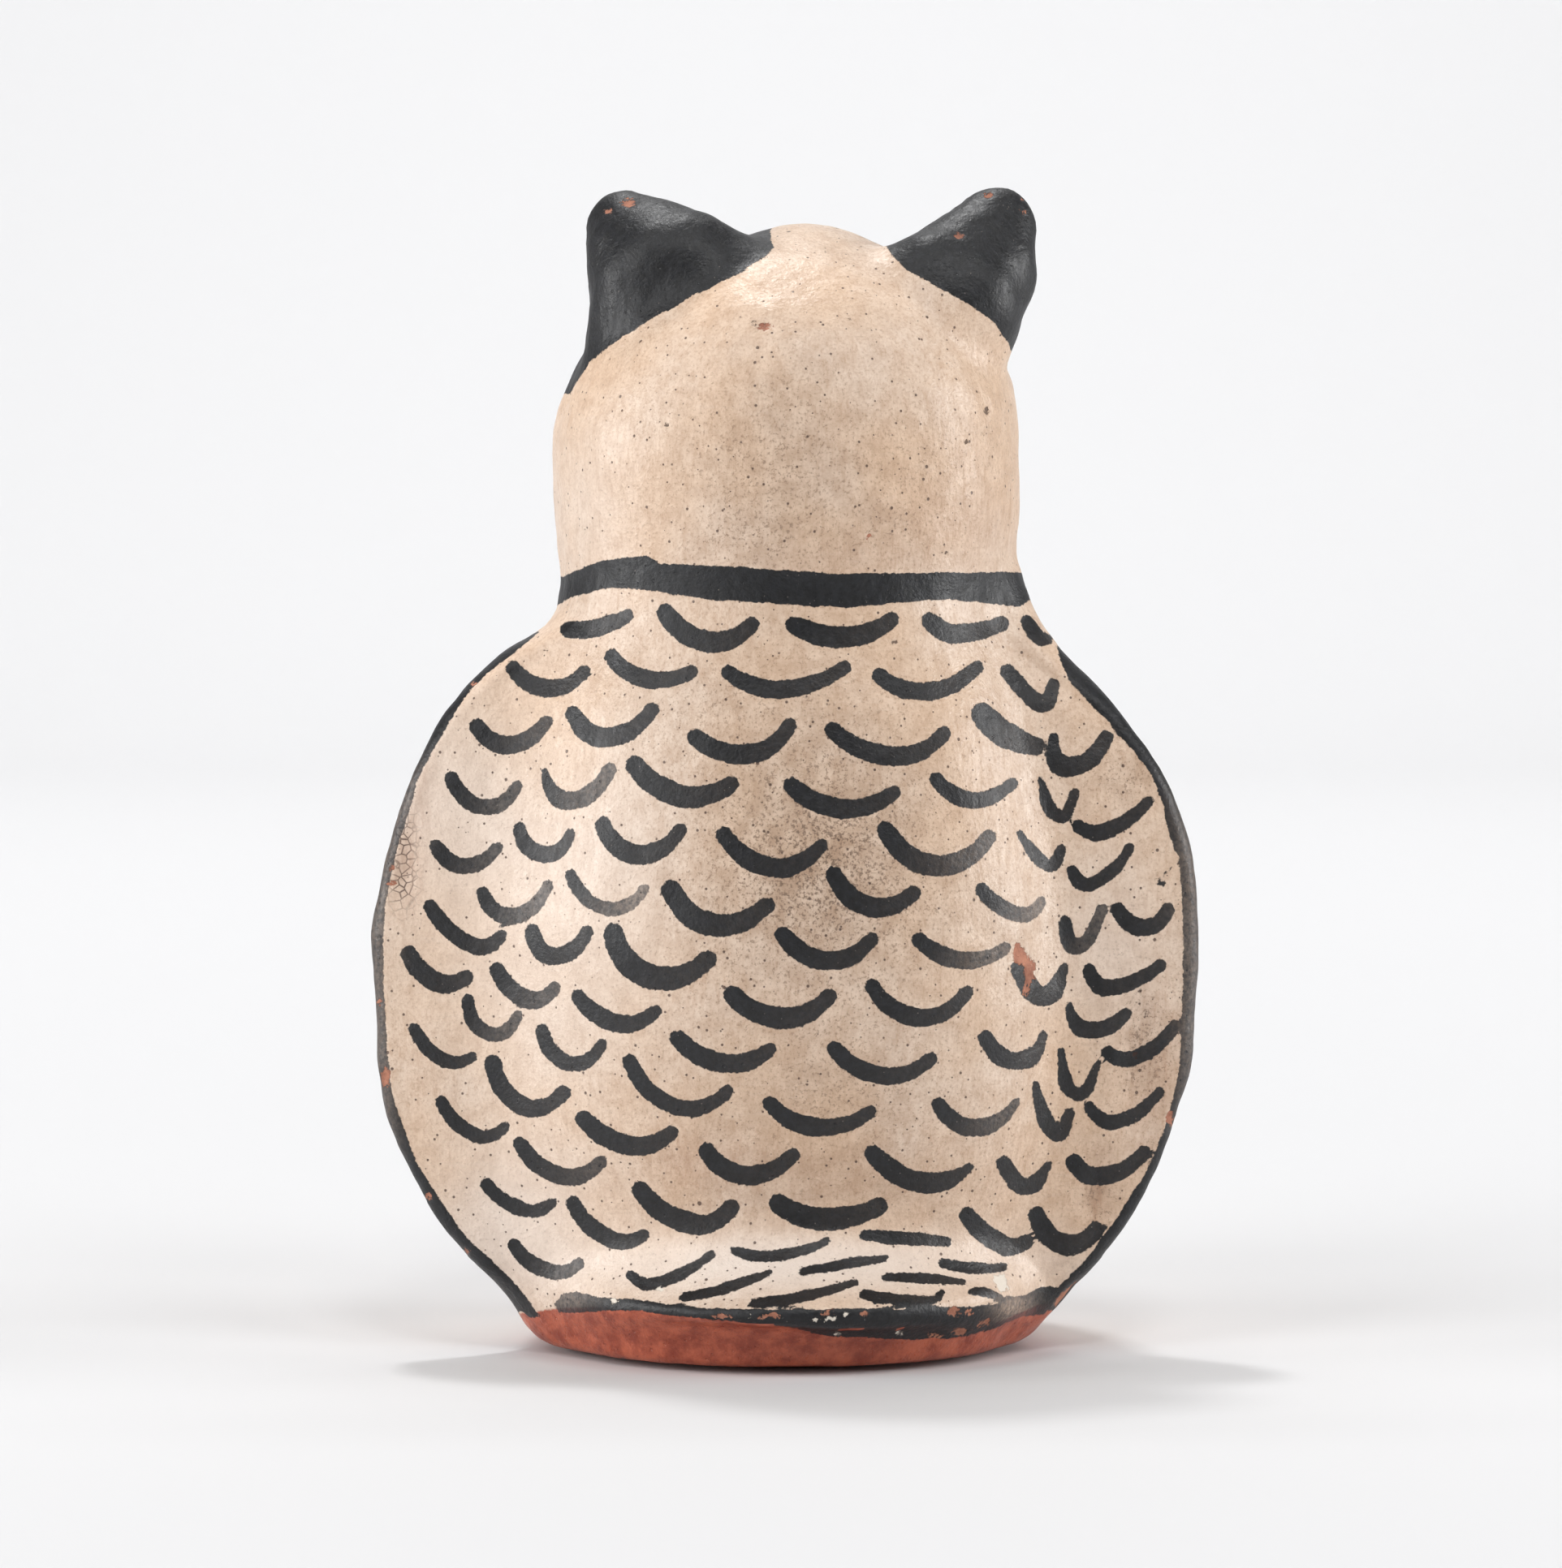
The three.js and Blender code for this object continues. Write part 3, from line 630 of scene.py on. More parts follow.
def evened(grid):
    """Draws each point towards the middle of its four neighbours, along the surface."""
    inner = grid[1:-1]
    middle = (grid[:-2] + grid[2:] + np.roll(inner, 1, axis=1) + np.roll(inner, -1, axis=1)) / 4
    moved = inner + EVENING_SHARE * (middle - inner)
    for _ in range(2):
        here, slope = clay_slope(moved)
        steepness = np.maximum((slope ** 2).sum(axis=-1), 0.04)
        moved = moved - (here / steepness)[..., None] * slope
    on_foot = inner[..., 2] < 1e-3
    moved[on_foot] = inner[on_foot]
    return np.concatenate([grid[:1], moved, grid[-1:]])


def waves(points, wavelength, seed, count=28):
    """Smooth bumps of about one wavelength, mostly between -1 and 1, the same for the same seed."""
    random = np.random.default_rng(seed)
    directions = random.normal(size=(count, 3))
    directions /= np.linalg.norm(directions, axis=1)[:, None]
    lengths = wavelength * random.uniform(0.7, 1.6, count)
    phases = random.uniform(0, 2 * math.pi, count)
    angles = points @ (directions / lengths[:, None] * 2 * math.pi).T + phases
    return np.cos(angles).sum(axis=-1) / math.sqrt(count)


def photo_places(points):
    """Where points show in the photograph, in its pixels."""
    away = points - EYE
    depth = away[..., 1] * math.cos(EYE_PITCH) - away[..., 2] * math.sin(EYE_PITCH)
    height = away[..., 1] * math.sin(EYE_PITCH) + away[..., 2] * math.cos(EYE_PITCH)
    across = PHOTO_SIZE[0] / 2 + FOCAL_LENGTH * away[..., 0] / depth
    return np.stack([across, PHOTO_SIZE[1] / 2 - FOCAL_LENGTH * height / depth], axis=-1)


def stroke_path(stroke, starts_pointed=False, ends_pointed=False, bent=False):
    """The middle line of a brush stroke and its half width there, from its tips and lowest edge."""
    left_x, left_y, low_x, low_y, right_x, right_y, width = stroke
    start_inset = width * (0.5 if starts_pointed else 1)
    end_inset = width * (0.6 if ends_pointed else 1)
    left = np.array([left_x + 0.165 * start_inset, left_y + 0.255 * start_inset])
    low = np.array([low_x, low_y - 0.2 * width])
    right = np.array([right_x - 0.255 * end_inset, right_y + 0.135 * end_inset])
    spans = [np.linalg.norm(low - left), np.linalg.norm(right - low)]
    chords = [(low - left) / spans[0], (right - low) / spans[1]]
    level = (right - left) / np.linalg.norm(right - left)
    bow = 0.2 if bent else 1.05
    tangents = [(1 + bow) * chords[0] - bow * level, level, (1 + bow) * chords[1] - bow * level]
    ends = [left, low, right]
    path = []
    for piece in range(2):
        for t in np.linspace(0, 1, 7)[piece:]:
            swing = t * t * (3 - 2 * t)
            path.append(
                ends[piece] * (1 - swing) + ends[piece + 1] * swing
                + spans[piece] * (tangents[piece] * t * (1 - t) ** 2 - tangents[piece + 1] * t * t * (1 - t))
            )
    shares = np.linspace(0, 1, len(path))
    fullness = 0.88 + 0.21 * np.sin(math.pi * np.clip(1.1 * shares, 0, 1)) ** 0.8 - 0.1 * shares
    if starts_pointed:
        fullness *= 0.55 + 0.45 * smooth_step(0, 0.3, shares)
    if ends_pointed:
        fullness *= 0.6 + 0.4 * smooth_step(1, 0.7, shares)
    return np.array(path), width / 2 * fullness


def stroke_distance(places, path, half_widths):
    """Distance to a stroke, and how far along it the nearest place is, 0 to 1."""
    nearest = np.full(len(places), np.inf)
    progress = np.zeros(len(places))
    for i, (start, end) in enumerate(zip(path, path[1:])):
        run = end - start
        offset = places - start
        share = np.clip(offset @ run / (run @ run), 0, 1)
        gap = np.linalg.norm(offset - share[:, None] * run, axis=1)
        gap -= half_widths[i] + (half_widths[i + 1] - half_widths[i]) * share
        closer = gap < nearest
        nearest = np.where(closer, gap, nearest)
        progress = np.where(closer, (i + share) / (len(path) - 1), progress)
    return nearest, progress


def outline_distance(places, corners):
    """Distance from each place to a closed outline, below zero inside it."""
    corners = np.array(corners, float)
    nearest = np.full(len(places), np.inf)
    inside = np.zeros(len(places), bool)
    for start, end in zip(corners, np.roll(corners, -1, axis=0)):
        run = end - start
        offset = places - start
        share = np.clip(offset @ run / (run @ run), 0, 1)
        nearest = np.minimum(nearest, np.linalg.norm(offset - share[:, None] * run, axis=1))
        if start[1] != end[1]:
            level = (start[1] > places[:, 1]) != (end[1] > places[:, 1])
            inside ^= level & (offset[:, 0] < offset[:, 1] * run[0] / run[1])
    return np.where(inside, -nearest, nearest)


def spot_distance(places, spots):
    """Distance in pixels to the nearest of some oval spots, below zero inside one."""
    nearest = np.full(len(places), np.inf)
    for x, y, half_width, half_height in spots:
        size = np.hypot((places[:, 0] - x) / half_width, (places[:, 1] - y) / half_height)
        nearest = np.minimum(nearest, (size - 1) * min(half_width, half_height))
    return nearest


def cloud(places, spots):
    """How strongly some soft oval spots cover each place, 0 to 1."""
    clear = np.ones(len(places))
    for x, y, half_width, half_height, strength in spots:
        size = np.hypot((places[:, 0] - x) / half_width, (places[:, 1] - y) / half_height)
        clear *= 1 - strength * np.exp(-size * size)
    return 1 - clear


def strokes_distance(places, strokes):
    """Distance in pixels to the nearest of some brush strokes, worked out only near each one, and
    how thin its ink has become there, 0 to 1."""
    nearest = np.full(len(places), FAR_FROM_PAINT / PIXEL)
    thinness = np.zeros(len(places))
    for path, half_widths, fade in strokes:
        margin = 5 * half_widths.max()
        low, high = path.min(axis=0) - margin, path.max(axis=0) + margin
        near = np.flatnonzero(((places > low) & (places < high)).all(axis=1))
        gap, progress = stroke_distance(places[near], path, half_widths)
        closer = gap < nearest[near]
        nearest[near[closer]] = gap[closer]
        thinness[near[closer]] = fade * smooth_step(0.05, 1, progress[closer])
    return nearest, thinness


def back_strokes():
    strokes = []
    for row, places in enumerate(FEATHER_ROWS, start=1):
        for place, stroke in enumerate(places, start=1):
            key = (row, place)
            shape = (key in POINTED_STARTS, key in POINTED_ENDS, key in BENT_STROKES)
            path, half_widths = stroke_path(stroke, *shape)
            strokes.append((path, half_widths, FADED_STROKES.get(key, USUAL_FADE)))
    for mark in INK_MARKS:
        mark = np.array(mark, float)
        strokes.append((mark[:, :2], mark[:, 2], 0))
    return strokes


def lengths_round(grid):
    """How far each point lies from the middle of the front, along its row, to the right positive."""
    steps = np.linalg.norm(np.roll(grid, -1, axis=1) - grid, axis=-1)
    lengths = np.cumsum(steps, axis=1) - steps
    front_middle = BACK_COLUMNS + RIM_COLUMNS + FRONT_COLUMNS // 2
    return lengths[:, front_middle, None] - lengths


def wing_rims(grid, around):
    """The wings' rims from the crown down, in pixels: the height where they show in the photograph,
    how far round the owl they are, and where the left and the right one show."""
    right = BACK_COLUMNS + RIM_COLUMNS // 2
    left = right + RIM_COLUMNS + FRONT_COLUMNS
    reach = np.minimum(around[:, right], -around[:, left]) / PIXEL
    left_places, right_places = [photo_places(grid[:, column] * (1, 0, 1)) for column in (left, right)]
    return np.stack([right_places[:, 1], reach, left_places[:, 0], right_places[:, 0]])[:, ::-1]


def front_stroke(x, y):
    half_span = FRONT_STROKE_SPAN / 2
    stroke = (x - half_span, y, x, y + FRONT_STROKE_SAG, x + half_span, y, FRONT_STROKE_WIDTH)
    return *stroke_path(stroke), USUAL_FADE


def front_strokes(rims):
    """Strokes on the trunk, in pixels round the owl, and on the wings, in the photograph's."""
    level, reach, left, right = rims
    on_trunk, on_wings = [], []
    for row in range(FRONT_ROWS):
        y = FRONT_FIRST_ROW + FRONT_ROW_STEP * row
        offsets = FRONT_STROKE_STEP * (np.arange(-9, 9) + 0.5 * (row % 2))
        near = np.abs(offsets) < np.interp(y, level, reach) - TRUNK_STROKE_MARGIN
        on_trunk += [front_stroke(PHOTO_SIZE[0] / 2 + x, y) for x in offsets[near]]
        if 1 < row < FRONT_ROWS - 2:
            on_wings.append(front_stroke(np.interp(y, level, left) + WING_STROKE_MARGIN, y))
            on_wings.append(front_stroke(np.interp(y, level, right) - WING_STROKE_MARGIN, y))
    return on_trunk, on_wings


def eye_distance(points):
    """Distance in millimetres to the round painted eyes on the front."""
    nearest = np.full(len(points), np.inf)
    for side in (-1, 1):
        size = np.hypot(points[:, 0] - side * EYE_OUT, points[:, 2] - EYE_HEIGHT)
        ring = np.maximum(EYE_RING[0] - size, size - EYE_RING[1])
        nearest = np.minimum(nearest, np.minimum(ring, size - PUPIL))
    return nearest


def photo_view(points, normals):
    """Which points face the photograph's camera, and where each shows in its pixels. The others
    are placed as if seen through the owl."""
    seen = ((EYE - points) * normals).sum(axis=1) > 0
    return seen, photo_places(points * np.where(seen[:, None], 1, (1, 0, 1)))


def nearest_outline(places, outlines):
    return np.min([outline_distance(places, corners) for corners in outlines], axis=0)


def ink_fields(points, seen, places, around, rims):
    back, back_thinness = strokes_distance(places, back_strokes())
    round_places = np.column_stack([PHOTO_SIZE[0] / 2 + around / PIXEL, places[:, 1]])
    on_trunk, on_wings = front_strokes(rims)
    trunk_ink, front_thinness = strokes_distance(round_places, on_trunk)
    front = np.minimum(trunk_ink, strokes_distance(places, on_wings)[0])
    strokes = np.where(seen, back, front)
    rise = np.where(seen, 0, EAR_INK_RISE * np.maximum(points[:, 1], 0)) / PIXEL
    round_ears = places + np.column_stack([np.zeros(len(rise)), rise])
    ears = nearest_outline(round_ears, (LEFT_EAR_INK, RIGHT_EAR_INK))
    outlines = np.minimum(ears, nearest_outline(places, (NECK_BAND_INK, LEFT_WING_INK, RIGHT_WING_INK)))
    lip = np.where(seen, outline_distance(places, TAIL_LIP_INK), np.inf)
    broad = np.minimum(outlines, lip)
    ink = np.minimum(strokes, broad) * PIXEL
    ink = np.where(seen, ink, np.minimum(ink, eye_distance(points)))
    thinness = np.where(strokes < broad, np.where(seen, back_thinness, front_thinness), 0)
    return ink + 0.08 * waves(points, 4, seed=3), np.maximum(thinness, cloud(places, THIN_INK_AND_RIM_SHEEN))


def red_edge(points, seen, places):
    """Distance in millimetres to the upper edge of the red slip, below zero in it."""
    left, right = RED_SLIP_TOP
    top = left + (right - left) * smooth_step(-40, 40, points[:, 0])
    top = top + (RED_SLIP_UNDER_TAIL - top) * smooth_step(*RED_SLIP_RISE, points[:, 1])
    hidden = points[:, 2] - top + 0.2 * waves(points, 9, seed=4)
    return np.where(seen, outline_distance(places, RED_SLIP_BACK) * PIXEL, hidden)


def chip_edge(seen, places, ovals, outlines):
    gap = spot_distance(places, ovals)
    if outlines:
        gap = np.minimum(gap, nearest_outline(places, outlines))
    return np.where(seen, gap * PIXEL, FAR_FROM_PAINT)


def paint_fields(points, normals, around, rims):
    """What the material reads at each vertex: distances to paint edges in millimetres, and masks."""
    seen, places = photo_view(points, normals)
    ink, thinness = ink_fields(points, seen, places, around, rims)
    edges = {
        "ink_edge": ink,
        "red_edge": red_edge(points, seen, places),
        "red_chip_edge": chip_edge(seen, places, RED_CHIPS, RED_CHIP_OUTLINES),
        "pale_chip_edge": chip_edge(seen, places, PALE_CHIPS, PALE_CHIP_OUTLINES),
        "pit_edge": chip_edge(seen, places, PITS, []),
    }
    fields = {name: np.clip(values, -FAR_FROM_PAINT, FAR_FROM_PAINT) for name, values in edges.items()}
    # Thin, worn ink, and painted reflection along the wings' rims
    fields["thin_ink_and_rim_sheen"] = thinness
    # Soot and painted shade
    fields["soot_and_shade"] = np.where(seen, cloud(places, SOOT_AND_SHADE), 0.15)
    # Brown stains and painted shade
    fields["stain_and_shade"] = np.where(seen, cloud(places, STAINS_AND_SHADE), 0.1)
    # Painted sheen on the slip
    fields["painted_sheen"] = np.where(seen, cloud(places, PAINTED_SHEEN_SPOTS), 0)
    fields["crackle"] = np.where(seen, cloud(places, CRACKLE), 0)
    return fields


def relief(points, normals, fields):
    """How far the worked surface stands off the plain form, in millimetres."""
    seen, places = photo_view(points, normals)
    worked = np.zeros(len(points))
    for x, y, half_width, half_height, rise in WORKED:
        size = np.hypot((places[:, 0] - x) / half_width, (places[:, 1] - y) / half_height)
        worked += np.where(seen, rise * np.exp(-size * size), 0)
    coils = 0.16 * waves(points * (0.6, 0.6, 1.5), 24, seed=5)
    dents = 0.09 * waves(points, 8, seed=6) + 0.04 * waves(points, 3.2, seed=7)
    chips = np.minimum(fields["red_chip_edge"], fields["pale_chip_edge"])
    chipped = -0.3 * smooth_step(0.4, -0.5, np.minimum(chips, fields["pit_edge"]))
    return (worked + coils + dents + chipped) * smooth_step(0, 2.5, points[:, 2])


def zipped(back, front, back_places, front_places):
    """Triangles that close the slit between two chains of vertices, walking along both at once."""
    triangles = []
    i = j = 0
    while i < len(back) - 1 or j < len(front) - 1:
        back_next = back_places[i + 1] if i < len(back) - 1 else math.inf
        front_next = front_places[j + 1] if j < len(front) - 1 else math.inf
        if back_next <= front_next:
            triangles.append((back[i], back[i + 1], front[j]))
            i += 1
        else:
            triangles.append((back[i], front[j + 1], front[j]))
            j += 1
    return [triangle for triangle in triangles if len(set(triangle)) == 3]


def end_strip(grid, row):
    """The triangles that close the foot or the crown, between the back and the front of its row."""
    wide = grid.shape[1]
    right = BACK_COLUMNS + RIM_COLUMNS // 2
    left = right + FRONT_COLUMNS + RIM_COLUMNS
    back = np.arange(left, wide + right + 1) % wide
    front = np.arange(left, right - 1, -1)
    x = grid[row, :, 0]
    first = row % len(grid) * wide
    triangles = zipped(back + first, front + first, x[back], x[front])
    return triangles if row else [triangle[::-1] for triangle in triangles]


def skin_uv(faces, strips, rows, wide):
    """The grid laid out flat, with the two closing strips squeezed in above and below it."""
    corners = faces % wide, faces // wide
    across = np.where((corners[0] == 0) & (corners[0].max(axis=1) == wide - 1)[:, None], wide, corners[0])
    grid_uv = np.stack([across / wide, 0.02 + 0.96 * corners[1] / (rows - 1)], axis=-1).reshape(-1, 2)
    strip_uv = []
    for strip, level in strips:
        for corner in np.array(strip).reshape(-1):
            place = corner % wide
            on_back = place < BACK_COLUMNS + RIM_COLUMNS // 2 or place > wide - RIM_COLUMNS // 2
            strip_uv.append((place / wide, level + (0.003 if on_back else -0.003)))
    return np.concatenate([grid_uv, np.array(strip_uv)])


def build_owl(material):
    grid = skin_grid()
    for _ in range(EVENING_ROUNDS):
        grid = evened(grid)
    grid[..., 2] = np.where(grid[..., 2] < 1e-3, 0, grid[..., 2])
    rows, wide = grid.shape[:2]
    points = grid.reshape(-1, 3)
    _, normals = clay_slope(points)
    normals /= np.linalg.norm(normals, axis=1)[:, None]
    around = lengths_round(grid)
    fields = paint_fields(points, normals, around.ravel(), wing_rims(grid, around))
    points = points + normals * relief(points, normals, fields)[:, None]

    numbers = np.arange(rows * wide).reshape(rows, wide)
    below, above = numbers[:-1], numbers[1:]
    squares = np.stack([below, np.roll(below, -1, 1), np.roll(above, -1, 1), above], -1).reshape(-1, 4)
    strips = [(end_strip(grid, 0), 0.01), (end_strip(grid, rows - 1), 0.99)]
    faces = squares.tolist() + [list(triangle) for strip, _ in strips for triangle in strip]

    mesh = bpy.data.meshes.new("owl_fine_skin")
    mesh.from_pydata((points * MM).tolist(), [], faces)
    mesh.uv_layers.new(name="OFBake")
    mesh.uv_layers["OFBake"].uv.foreach_set("vector", skin_uv(squares, strips, rows, wide).ravel())
    for name, values in fields.items():
        mesh.attributes.new(name, "FLOAT", "POINT").data.foreach_set("value", values)
    mesh.polygons.foreach_set("use_smooth", np.ones(len(mesh.polygons), bool))
    mesh.materials.append(material)
    owl = bpy.data.objects.new("owl_fine_skin", mesh)
    bpy.context.scene.collection.objects.link(owl)
    return owl


def srgb(red, green, blue):
    """A colour as a picture shows it, 0 to 255, made linear."""
    shares = [value / 255 for value in (red, green, blue)]
    return [s / 12.92 if s <= 0.04045 else ((s + 0.055) / 1.055) ** 2.4 for s in shares] + [1]


class Nodes:
    """Adds nodes to a material. An input is a number, a colour tuple, a vector list or another
    node's output."""

    def __init__(self, material):
        material.use_nodes = True
        self.nodes = material.node_tree.nodes
        self.links = material.node_tree.links
        self.nodes.clear()
        coordinates = self.nodes.new("ShaderNodeTexCoord")
        self.millimetres = self.vector("MULTIPLY", coordinates.outputs["Object"], [1 / MM] * 3)

    def set(self, socket, value):
        if isinstance(value, bpy.types.NodeSocket):
            self.links.new(value, socket)
        elif isinstance(value, tuple):
            socket.default_value = srgb(*value)
        else:
            socket.default_value = value

    def vector(self, operation, first, second):
        node = self.nodes.new("ShaderNodeVectorMath")
        node.operation = operation
        self.set(node.inputs[0], first)
        self.set(node.inputs[1], second)
        return node.outputs["Vector"]

    def math(self, operation, *values):
        node = self.nodes.new("ShaderNodeMath")
        node.operation = operation
        for socket, value in zip(node.inputs, values):
            self.set(socket, value)
        return node.outputs["Value"]

    def attribute(self, name):
        node = self.nodes.new("ShaderNodeAttribute")
        node.attribute_name = name
        return node.outputs["Fac"]

    def noise(self, size, detail=2.0, roughness=0.5, stretch=(1, 1, 1)):
        """Soft noise, 0 to 1, whose bumps are about size millimetres across."""
        node = self.nodes.new("ShaderNodeTexNoise")
        place = self.vector("MULTIPLY", self.millimetres, [share / size for share in stretch])
        self.set(node.inputs["Vector"], place)
        self.set(node.inputs["Scale"], 1.0)
        self.set(node.inputs["Detail"], detail)
        self.set(node.inputs["Roughness"], roughness)
        return node.outputs["Fac"]

    def ramp(self, value, low, high, start=0.0, end=1.0):
        """From start where value is low to end where it is high, with soft ends."""
        node = self.nodes.new("ShaderNodeMapRange")
        node.interpolation_type = "SMOOTHSTEP"
        self.set(node.inputs["Value"], value)
        self.set(node.inputs["From Min"], low)
        self.set(node.inputs["From Max"], high)
        self.set(node.inputs["To Min"], start)
        self.set(node.inputs["To Max"], end)
        return node.outputs["Result"]

    def mix(self, share, first, second):
        """From the first colour at share 0 to the second at share 1."""
        node = self.nodes.new("ShaderNodeMix")
        node.data_type = "RGBA"
        self.set(node.inputs[0], share)
        self.set(node.inputs[6], first)
        self.set(node.inputs[7], second)
        return node.outputs[2]

    def cells(self, size, feature="F1"):
        node = self.nodes.new("ShaderNodeTexVoronoi")
        node.feature = feature
        self.set(node.inputs["Vector"], self.vector("MULTIPLY", self.millimetres, [1 / size] * 3))
        self.set(node.inputs["Scale"], 1.0)
        return node

    def cracks(self, size, width):
        """A net of lines round cells of size millimetres: 1 in a line."""
        node = self.cells(size, "DISTANCE_TO_EDGE")
        return self.ramp(node.outputs["Distance"], 0.0, width / size, 1.0, 0.0)

    def specks(self, size, share, smallest, largest):
        """Round specks in cells of size millimetres: 1 inside a speck. Only a share of cells has one."""
        node = self.cells(size)
        split = self.nodes.new("ShaderNodeSeparateColor")
        self.links.new(node.outputs["Color"], split.inputs["Color"])
        chosen = self.math("LESS_THAN", split.outputs["Red"], share)
        radius = self.ramp(split.outputs["Green"], 0.0, 1.0, smallest / size, largest / size)
        gap = self.math("DIVIDE", node.outputs["Distance"], radius)
        return self.math("MULTIPLY", self.ramp(gap, 1.0, 0.6), chosen)


def slipped_clay():
    material = bpy.data.materials.new("slipped_clay")
    nodes = Nodes(material)
    broad = nodes.noise(26, detail=3)
    mottle = nodes.noise(3.2, detail=4, roughness=0.65)
    pebbles = nodes.noise(1.1, detail=2, roughness=0.6)
    grain = nodes.noise(0.55, detail=3, roughness=0.75)
    wiped = nodes.noise(2.2, detail=4, roughness=0.6, stretch=(0.35, 0.35, 1.6))
    streaks = nodes.noise(0.9, detail=4, roughness=0.75, stretch=(1, 1, 0.2))
    soot_and_shade = nodes.attribute("soot_and_shade")
    stain_and_shade = nodes.attribute("stain_and_shade")

    slip = nodes.mix(nodes.ramp(broad, 0.3, 0.7), SLIP_LIGHT, SLIP_WARM)
    slip = nodes.mix(nodes.ramp(mottle, 0.35, 0.75, 0.0, 0.4), slip, SLIP_DARK)
    slip = nodes.mix(nodes.ramp(streaks, 0.45, 0.75, 0.0, 0.45), slip, SLIP_DARK)
    slip = nodes.mix(nodes.ramp(wiped, 0.5, 0.8, 0.0, 0.3), slip, SLIP_LIGHT)
    slip = nodes.mix(nodes.ramp(grain, 0.42, 0.66, 0.0, 0.38), slip, SLIP_DARK)
    # Paler slip where the lamps' sheen falls: painted sheen
    slip = nodes.mix(nodes.math("MULTIPLY", nodes.attribute("painted_sheen"), 0.8), slip, PAINTED_SHEEN_SLIP)
    # Brown stain colour: real stains and painted shade
    slip = nodes.mix(nodes.math("MULTIPLY", stain_and_shade, nodes.ramp(streaks, 0.3, 0.7, 0.3, 0.8)), slip, STAIN_AND_SHADE_BROWN)
    # Smoke colour over the soot clouds: real soot and painted shade
    smoky_and_shaded = nodes.math("MULTIPLY", soot_and_shade, nodes.ramp(mottle, 0.3, 0.65, 0.25, 0.75))
    slip = nodes.mix(smoky_and_shaded, slip, SMOKE_AND_SHADE)
    stipple = nodes.ramp(nodes.math("MULTIPLY_ADD", soot_and_shade, 0.12, grain), 0.6, 0.7)
    stippled = nodes.math("MULTIPLY", stipple, nodes.math("MULTIPLY_ADD", soot_and_shade, 0.6, 0.15))
    slip = nodes.mix(stippled, slip, SOOT_DOT)
    cracked = nodes.math("MULTIPLY", nodes.attribute("crackle"), nodes.cracks(1.5, 0.16))
    slip = nodes.mix(cracked, slip, CRACK)
    specks = nodes.math("MAXIMUM", nodes.specks(1.5, 0.85, 0.12, 0.27), nodes.specks(2.7, 0.4, 0.18, 0.34))
    specks = nodes.math("MAXIMUM", specks, nodes.specks(7.3, 0.25, 0.25, 0.45))
    slip = nodes.mix(nodes.math("MULTIPLY", specks, 0.85), slip, SPECK)

    red = nodes.mix(nodes.ramp(mottle, 0.3, 0.7), RED_SLIP, RED_SLIP_DARK)
    red = nodes.mix(nodes.ramp(grain, 0.6, 0.75, 0.0, 0.35), red, RED_SLIP_WORN)

    thin_and_sheen = nodes.attribute("thin_ink_and_rim_sheen")
    brush = nodes.noise(1.2, detail=4, roughness=0.7)
    ink = nodes.mix(nodes.ramp(brush, 0.35, 0.7), INK, INK_SOFT)
    # Bluish grey of thin, worn ink, and painted reflection on the wings' rims
    ink = nodes.mix(nodes.math("MULTIPLY", thin_and_sheen, 0.6), ink, INK_THIN_AND_SHEEN)
    ink_specks = nodes.specks(0.9, 0.3, 0.06, 0.13)
    ink = nodes.mix(nodes.math("MULTIPLY", ink_specks, 0.55), ink, INK_SPECK)

    uneven = nodes.noise(0.7, detail=4, roughness=0.65)

    def cover(name, softness, raggedness=0.8):
        ragged = nodes.math("MULTIPLY_ADD", uneven, raggedness, -raggedness / 2)
        edge = nodes.math("ADD", nodes.attribute(name), ragged)
        return nodes.ramp(edge, softness, -softness)

    dry = nodes.noise(0.8, detail=4, roughness=0.7)
    bare = nodes.math("MULTIPLY", thin_and_sheen, nodes.ramp(dry, 0.3, 0.7, 0.15, 0.75))
    ink_cover = nodes.math("MULTIPLY", cover("ink_edge", 0.09), nodes.math("SUBTRACT", 1.0, bare))
    red_cover = cover("red_edge", 0.2)
    red_chip = cover("red_chip_edge", 0.1, 1.6)
    pale_chip = cover("pale_chip_edge", 0.1, 1.2)
    pit = cover("pit_edge", 0.08, 1.2)
    colour = nodes.mix(red_cover, slip, red)
    colour = nodes.mix(ink_cover, colour, ink)
    colour = nodes.mix(red_chip, colour, nodes.mix(nodes.ramp(mottle, 0.3, 0.7), RED_CLAY, RED_CLAY_DARK))
    colour = nodes.mix(pale_chip, colour, PALE_CHIP)
    colour = nodes.mix(nodes.math("MULTIPLY", pit, 0.8), colour, PIT)
    broken = nodes.math("MAXIMUM", nodes.math("MAXIMUM", red_chip, pale_chip), pit)

    roughness = nodes.ramp(streaks, 0.3, 0.7, 0.34, 0.48)
    roughness = nodes.math("MULTIPLY_ADD", red_cover, -0.08, roughness)
    roughness = nodes.math("MULTIPLY_ADD", ink_cover, 0.07, roughness)
    roughness = nodes.math("MULTIPLY_ADD", broken, 0.3, roughness)

